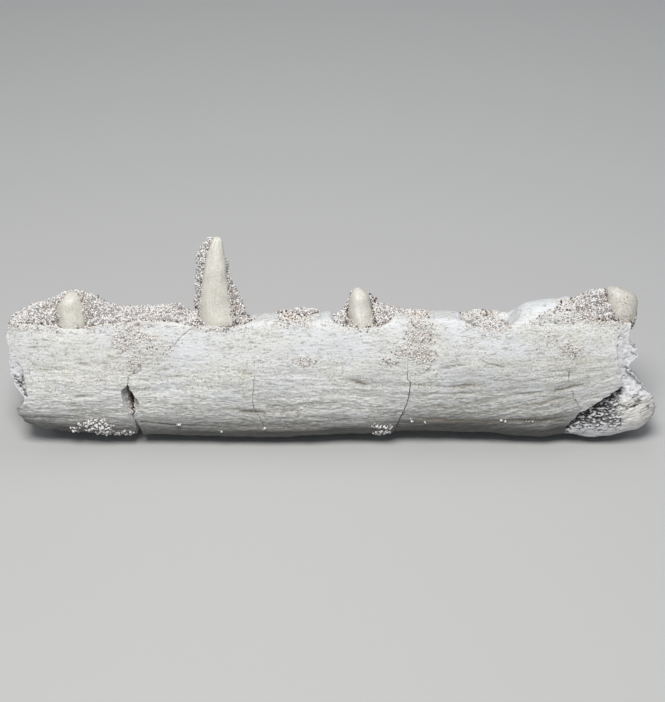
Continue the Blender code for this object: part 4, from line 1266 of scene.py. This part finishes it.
def boneMaterial():
    made, tree = newMaterial("weatheredBone")
    place, strand = (attribute(tree, name, "Vector") for name in ("jawPlace", "fibrePlace"))
    grit, brown, bed, cream, cool, stain, slit, shade, hollow, pore, broken, low = (
        attribute(tree, name) for name in (
            "grit", "brown", "bed", "cream", "cool", "stain",
            "slit", "shade", "hollow", "pore", "broken", "low",
        )
    )
    tone, mottle = (useGroup(blotches, place=place, size=size) for size in (16.0, 4.0))
    coarse, fine = (
        useGroup(fibreGrain, place=strand, length=long, width=wide)
        for long, wide in ((7.0, 1.0), (3.0, 0.48))
    )
    # a fine grain all over, drawn out along the fibres low down
    drawn = vectorMath("MULTIPLY", strand, (0.34, 1.25, 1.0))
    rounded, along = (noiseOf(at, 1.5, 3.0, 0.75) for at in (place, drawn))
    grain = plus(rounded, times(rangeOf(low, 0.1, 0.5, 0.25, 1.0), minus(along, rounded)))
    calm = minus(1.0, times(cool, 0.85), clamp=True)
    calm = times(calm, rangeOf(tone["Mask"], 0.1, 0.9, 0.7, 1.1))
    # small grey-green specks
    specks = voronoi(place, 0.75)
    few = rangeOf(pick(specks["Color"], 1), 0.70, 0.86)
    speckMask = times(rangeOf(specks["Distance"], 0.42, 0.16), few)
    # fine cracks, on the outer face only
    lines = calc("MAXIMUM", *(
        useGroup(hairline, place=place, start=(*start, 0), end=(*end, 0), width=0.25)[0]
        for points in faceMarks["hairlines"] for start, end in zip(points, points[1:])
    ))
    outer = calc("LESS_THAN", split(place)[2], 4.0)
    lines = times(lines, outer, rangeOf(mottle["Fine"], 0.35, 0.6, 0.35, 1.0))
    inside = layer(
        boneFinish["inside"], (mottle["Mask"], boneFinish["insidePale"]), (cream, boneFinish["insideCream"]),
    )
    crumbled = plus(pore, times(minus(grain, 0.5), 1.4))
    # sand that clings
    sand = useGroup(sandSpeckle, place=place, size=0.55, brown=times(brown, 0.6))
    cling = times(grit, rangeOf(mottle["Fine"], 0.3, 0.6, 0.45, 1.15), clamp=True)
    streakShade = plus(0.12, times(low, 0.52))  # the fibres' streaks: partly their own tone, partly painted shade in the hollows between them, more of it lower down

    base = layer(
        boneFinish["pale"],
        (tone["Mask"], boneFinish["plain"]),
        (times(cream, plus(0.45, times(mottle["Mask"], 0.55)), clamp=True), boneFinish["cream"]),
        (times(minus(1.0, coarse["Streaks"]), streakShade), boneFinish["streak"]),
        (times(minus(1.0, fine["Streaks"]), streakShade), boneFinish["streak"]),
        # painted shade in the hollows of the relief
        (rangeOf(hollow, 0.52, 0.85, 0.0, 0.55), boneFinish["streak"]),
        (times(rangeOf(grain, 0.49, 0.35, 0.0, 0.90), calm), boneFinish["grainDark"]),
        (times(rangeOf(grain, 0.51, 0.61, 0.0, 0.88), calm), boneFinish["grainPale"]),
        # smoother patches get a bluish white, partly painted sky sheen
        (times(cool, 0.55), boneFinish["bluishSheen"]),
        (rangeOf(noiseOf(drawn, 0.9, 2.0, 0.6), 0.56, 0.68, 0.0, 0.74), boneFinish["fleck"]),
        (times(speckMask, 0.46), boneFinish["speck"]),
        # painted shade on the lower edge
        (shade, boneFinish["shade"]),
        (times(stain, rangeOf(mottle["Fine"], 0.3, 0.7, 0.55, 1.25), clamp=True), boneFinish["stain"]),
        (times(lines, 0.85), boneFinish["crack"]),
        # the slits' dark brown: partly brown fill, partly painted shade
        (slit, boneFinish["slit"]),
        (times(broken, 0.85), inside),
        # painted shade in the pores of the broken bone
        (times(rangeOf(crumbled, 0.25, 0.7), rangeOf(pore, 0.05, 0.25)), boneFinish["poreShade"]),
        (rangeOf(cling, 0.10, 1.0, 0.0, 0.20), sand["Colour"]),
        (times(brown, grit, 0.07, clamp=True), boneFinish["sandTinge"]),
        # painted shade between the white grains
        (times(bed, 0.85), boneFinish["bedShade"]),
    )
    height = times(plus(times(coarse["Height"], 0.6), fine["Height"]), plus(0.3, times(low, 0.9)))
    height = minus(plus(height, grain), times(speckMask, 0.25))
    height = minus(plus(height, times(sand["Height"], cling, 0.4)), times(lines, 0.6))
    return finish(made, base, height, 0.00035, plus(0.55, times(cling, 0.3), clamp=True))


sandFinish = {"grainSize": 0.7, "fineSize": 0.4, "brown": 0.56, "creviceShade": (0.30, 0.26, 0.24)}


def sandMaterial():
    made, tree = newMaterial("sandRock")
    place = objectPlace(tree)
    brown = times(useGroup(blotches, place=place, size=9.0)["Mask"], sandFinish["brown"], clamp=True)
    sand, fine = (
        useGroup(sandSpeckle, place=place, size=sandFinish[size], brown=brown)
        for size in ("grainSize", "fineSize")
    )
    colour = layer(
        sand["Colour"], (0.35, fine["Colour"]),
        # painted shade where the surface was pushed in
        (rangeOf(attribute(tree, "push"), -0.1, -0.8, 0.0, 0.4), sandFinish["creviceShade"]),
    )
    return finish(made, colour, plus(sand["Height"], times(fine["Height"], 0.4)), 0.0004, 0.9)


grainFinish = {
    # share of the grains, colour
    "pale": (
        (0, (0.03, 0.026, 0.024)), (0.22, (0.24, 0.18, 0.14)), (0.3, (0.68, 0.55, 0.46)),
        (0.36, (0.91, 0.86, 0.82)), (0.48, (1, 0.98, 0.965)), (0.75, (1, 1, 1)),
    ),
    "warm": (
        (0, (0.06, 0.04, 0.03)), (0.12, (0.34, 0.22, 0.14)), (0.21, (0.66, 0.49, 0.37)),
        (0.31, (0.88, 0.77, 0.68)), (0.46, (0.97, 0.93, 0.89)), (0.8, (1, 0.99, 0.98)),
    ),
    "crest": (0.93, 0.93, 0.95),
    "white": (0.97, 0.97, 0.97),
    "dull": (0.30, 0.28, 0.26),
}


def grainMaterial():
    made, tree = newMaterial("sandGrains")
    place = objectPlace(tree)
    tint, brown, crest, bed, white = (
        attribute(tree, name) for name in ("tint", "brown", "crest", "bed", "white")
    )
    warmth = plus(times(useGroup(blotches, place=place, size=7.0)["Mask"], 0.55), times(brown, 0.9))
    dull = times(bed, calc("LESS_THAN", tint, 0.28))
    colour = layer(
        steps(tint, grainFinish["pale"]),
        (plus(warmth, 0.22, clamp=True), steps(tint, grainFinish["warm"])),
        # painted light on grains that face up
        (times(crest, 0.45, clamp=True), grainFinish["crest"]),
        (times(white, minus(1.0, dull), 0.9, clamp=True), grainFinish["white"]),
        (times(dull, 0.8), grainFinish["dull"]),
    )
    return finish(made, colour, useGroup(blotches, place=place, size=0.5)["Fine"], 0.0001, 0.72)


crownFinish = {
    "enamel": (0.67, 0.655, 0.575),
    "pale": (0.74, 0.73, 0.67),
    "streak": (0.42, 0.39, 0.31),
    "crack": (0.30, 0.27, 0.20),
    "grainDark": (0.40, 0.38, 0.31),
    "grainPale": (0.88, 0.87, 0.82),
}


def crownMaterial():
    made, tree = newMaterial("crownEnamel")
    place = attribute(tree, "jawPlace", "Vector")
    turned = split(attribute(tree, "crownPlace", "Vector"))
    upright = join(turned[1], turned[0], 0.0)
    tone = useGroup(blotches, place=place, size=7.0)
    fibre = useGroup(fibreGrain, place=upright, length=16.0, width=0.8)
    cracks = voronoi(vectorMath("MULTIPLY", upright, (0.12, 0.5, 1)), 1.0, "DISTANCE_TO_EDGE")["Distance"]
    crackMask = times(rangeOf(cracks, 0.02, 0.0), 0.15)
    dust = times(rangeOf(tone["Fine"], 0.35, 0.55), attribute(tree, "dust"))
    dust = calc("MAXIMUM", dust, attribute(tree, "frost"))
    grain = noiseOf(place, 1.7, 3.0, 0.7)
    colour = layer(
        crownFinish["enamel"],
        (tone["Mask"], crownFinish["pale"]),
        (times(minus(1.0, fibre["Streaks"]), 0.22), crownFinish["streak"]),
        (crackMask, crownFinish["crack"]),
        (rangeOf(grain, 0.50, 0.32, 0.0, 0.48), crownFinish["grainDark"]),
        (rangeOf(grain, 0.52, 0.64, 0.0, 0.42), crownFinish["grainPale"]),
        (dust, useGroup(sandSpeckle, place=place, size=0.5, brown=0.6)["Colour"]),
    )
    height = plus(minus(times(fibre["Height"], 0.5), times(crackMask, 0.5)), times(tone["Fine"], 0.15))
    return finish(made, colour, height, 0.0002, plus(0.38, times(dust, 0.5), clamp=True))


boneSkin, sandSkin, grainSkin, crownSkin = boneMaterial(), sandMaterial(), grainMaterial(), crownMaterial()
for pieces, skin in ((bones, boneSkin), ((sandRock, sandPlug), sandSkin), (teeth.values(), crownSkin)):
    for piece in pieces:
        piece.data.materials.clear()
        piece.data.materials.append(skin)
print("materials ready")

# Loose and half-sunk grains, scattered by a field on the piece below

grains = {
    "roughness": 0.45,
    "slimmest": (0.72, 0.72, 0.72),
    "fattest": (1.25, 1.25, 1.25),
    "lift": 0.25,  # radii that a grain's centre stands above the surface
    # name, pieces below, field, grains per m2, smallest gap and mean radius in m, spread, sides, rings, seed
    "rows": (
        ("grains_front", (sandRock, sandPlug), "front", 8.0e6, 0.00036, 0.00036, 0.50, 4, 2, 3),
        ("grains_behind", (sandRock,), "behind", 1.3e6, 0.00064, 0.00046, 0.40, 4, 2, 4),
        ("grains_on_bone", bones, "loose", 4.0e6, 0.00041, 0.00034, 0.45, 4, 2, 5),
        ("grains_lower_edge", bones, "white", 2.8e6, 0.00050, 0.00039, 0.55, 5, 3, 6),
        ("grains_on_crowns", tuple(teeth.values()), "frost", 7.0e6, 0.00028, 0.00025, 0.4, 4, 2, 7),
    ),
}


def grainTree():
    tree = bpy.data.node_groups.new("scatterGrains", "GeometryNodeTree")
    for label, kind, value in (
        ("Surface", "Geometry", None), ("Field", "String", "front"), ("Density", "Float", 1e6),
        ("Gap", "Float", 0.0005), ("Radius", "Float", 0.0004), ("Spread", "Float", 0.3),
        ("Sides", "Int", 4), ("Rings", "Int", 2), ("Seed", "Int", 1), ("Skin", "Material", None),
    ):
        socket = tree.interface.new_socket(label, in_out="INPUT", socket_type="NodeSocket" + kind)
        if value is not None:
            socket.default_value = value
    tree.interface.new_socket("Grains", in_out="OUTPUT", socket_type="NodeSocketGeometry")
    given, out = tree.nodes.new("NodeGroupInput").outputs, tree.nodes.new("NodeGroupOutput").inputs

    def chance(low, high, shift):
        # the node keeps its vector range in inputs 0 and 1, and its number range in 2 and 3
        vector = isinstance(low, tuple)
        first = 0 if vector else 2
        seed = plus(given["Seed"], float(shift))
        kind = "FLOAT_VECTOR" if vector else "FLOAT"
        made = addNode("FunctionNodeRandomValue", {first: low, first + 1: high, "Seed": seed}, data_type=kind)
        return made.outputs[0 if vector else 1]

    field = addNode("GeometryNodeInputNamedAttribute", {"Name": given["Field"]}, data_type="FLOAT")
    spots = addNode("GeometryNodeDistributePointsOnFaces", {
        "Mesh": given["Surface"], "Distance Min": given["Gap"], "Density Max": given["Density"],
        "Density Factor": field.outputs["Attribute"], "Seed": given["Seed"],
    }, distribute_method="POISSON").outputs
    size = chance(minus(1.0, given["Spread"]), plus(1.0, given["Spread"]), 7)
    radius = times(size, given["Radius"])
    whole = vectorMath("SCALE", chance(grains["slimmest"], grains["fattest"], 0), radius)
    turn = chance((0, 0, 0), (6.283, 6.283, 6.283), 13)
    lift = vectorMath("SCALE", spots["Normal"], times(radius, grains["lift"]))
    pebble = {"Segments": given["Sides"], "Rings": given["Rings"], "Radius": 1.0}
    pebble = addNode("GeometryNodeMeshUVSphere", pebble).outputs["Mesh"]
    made = spots["Points"]
    for kind, main, inputs, settings in (
        ("GeometryNodeSetPosition", "Geometry", {"Offset": lift}, {}),
        ("GeometryNodeInstanceOnPoints", "Points",
         {"Instance": pebble, "Rotation": turn, "Scale": whole}, {}),
        ("GeometryNodeStoreNamedAttribute", "Geometry", {"Name": "tint", "Value": chance(0.0, 1.0, 29)},
         {"data_type": "FLOAT", "domain": "INSTANCE"}),
        ("GeometryNodeRealizeInstances", "Geometry", {}, {}),
        ("GeometryNodeSetMaterial", "Geometry", {"Material": given["Skin"]}, {}),
    ):
        made = addNode(kind, {main: made, **inputs}, **settings).outputs[0]
    feed(out, {"Grains": made})
    return tree


scatterGrains = grainTree()


def scatter(name, below, field, density, gap, radius, spread, sides, rings, seed):
    items = scatterGrains.interface.items_tree
    sockets = {item.name: item.identifier for item in items if item.in_out == "INPUT"}
    work = bmesh.new()
    for number, piece in enumerate(below):
        modifier = piece.modifiers.new("grains", "NODES")
        modifier.node_group = scatterGrains
        for label, value in (
            ("Field", field), ("Density", density), ("Gap", gap), ("Radius", radius), ("Spread", spread),
            ("Sides", sides), ("Rings", rings), ("Seed", seed + 11 * number), ("Skin", grainSkin),
        ):
            modifier[sockets[label]] = value
        work.from_mesh(evaluated(piece))
        piece.modifiers.remove(modifier)
    joined = bpy.data.meshes.new(name)
    work.to_mesh(joined)
    work.free()
    joined.materials.append(grainSkin)
    joined.polygons.foreach_set("material_index", np.zeros(len(joined.polygons), np.int32))
    # each grain is roughened a little, so that no two are alike
    points = readPoints(joined).reshape(-1, sides * (rings - 1) + 2, 3)
    centre = points.mean(1, keepdims=True)
    jitter = 1 + grains["roughness"] * (np.random.default_rng(seed).random(points.shape[:2])[..., None] - 0.5)
    joined.vertices.foreach_set("co", (centre + (points - centre) * jitter).astype(np.float32).ravel())
    makeSmooth(joined)
    joined.calc_loop_triangles()
    print(name, len(points), "grains", len(joined.loop_triangles), "triangles")
    return addObject(name, joined)


grainPieces = [scatter(*row) for row in grains["rows"]]

# What each piece stands for

for piece, node, slot in (
    (boneLeft, "jaw_bone_left", "bone"), (boneMiddle, "jaw_bone_middle", "bone"),
    (boneRight, "jaw_bone_right", "bone"),
    (sandRock, "sand_matrix", "sand_rock"), (sandPlug, "sand_socket_fill", "sand_rock"),
    *((piece, node, "tooth") for node, piece in teeth.items()),
):
    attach(piece, "root")
    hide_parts(node)
for piece in grainPieces:
    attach(piece, "root")
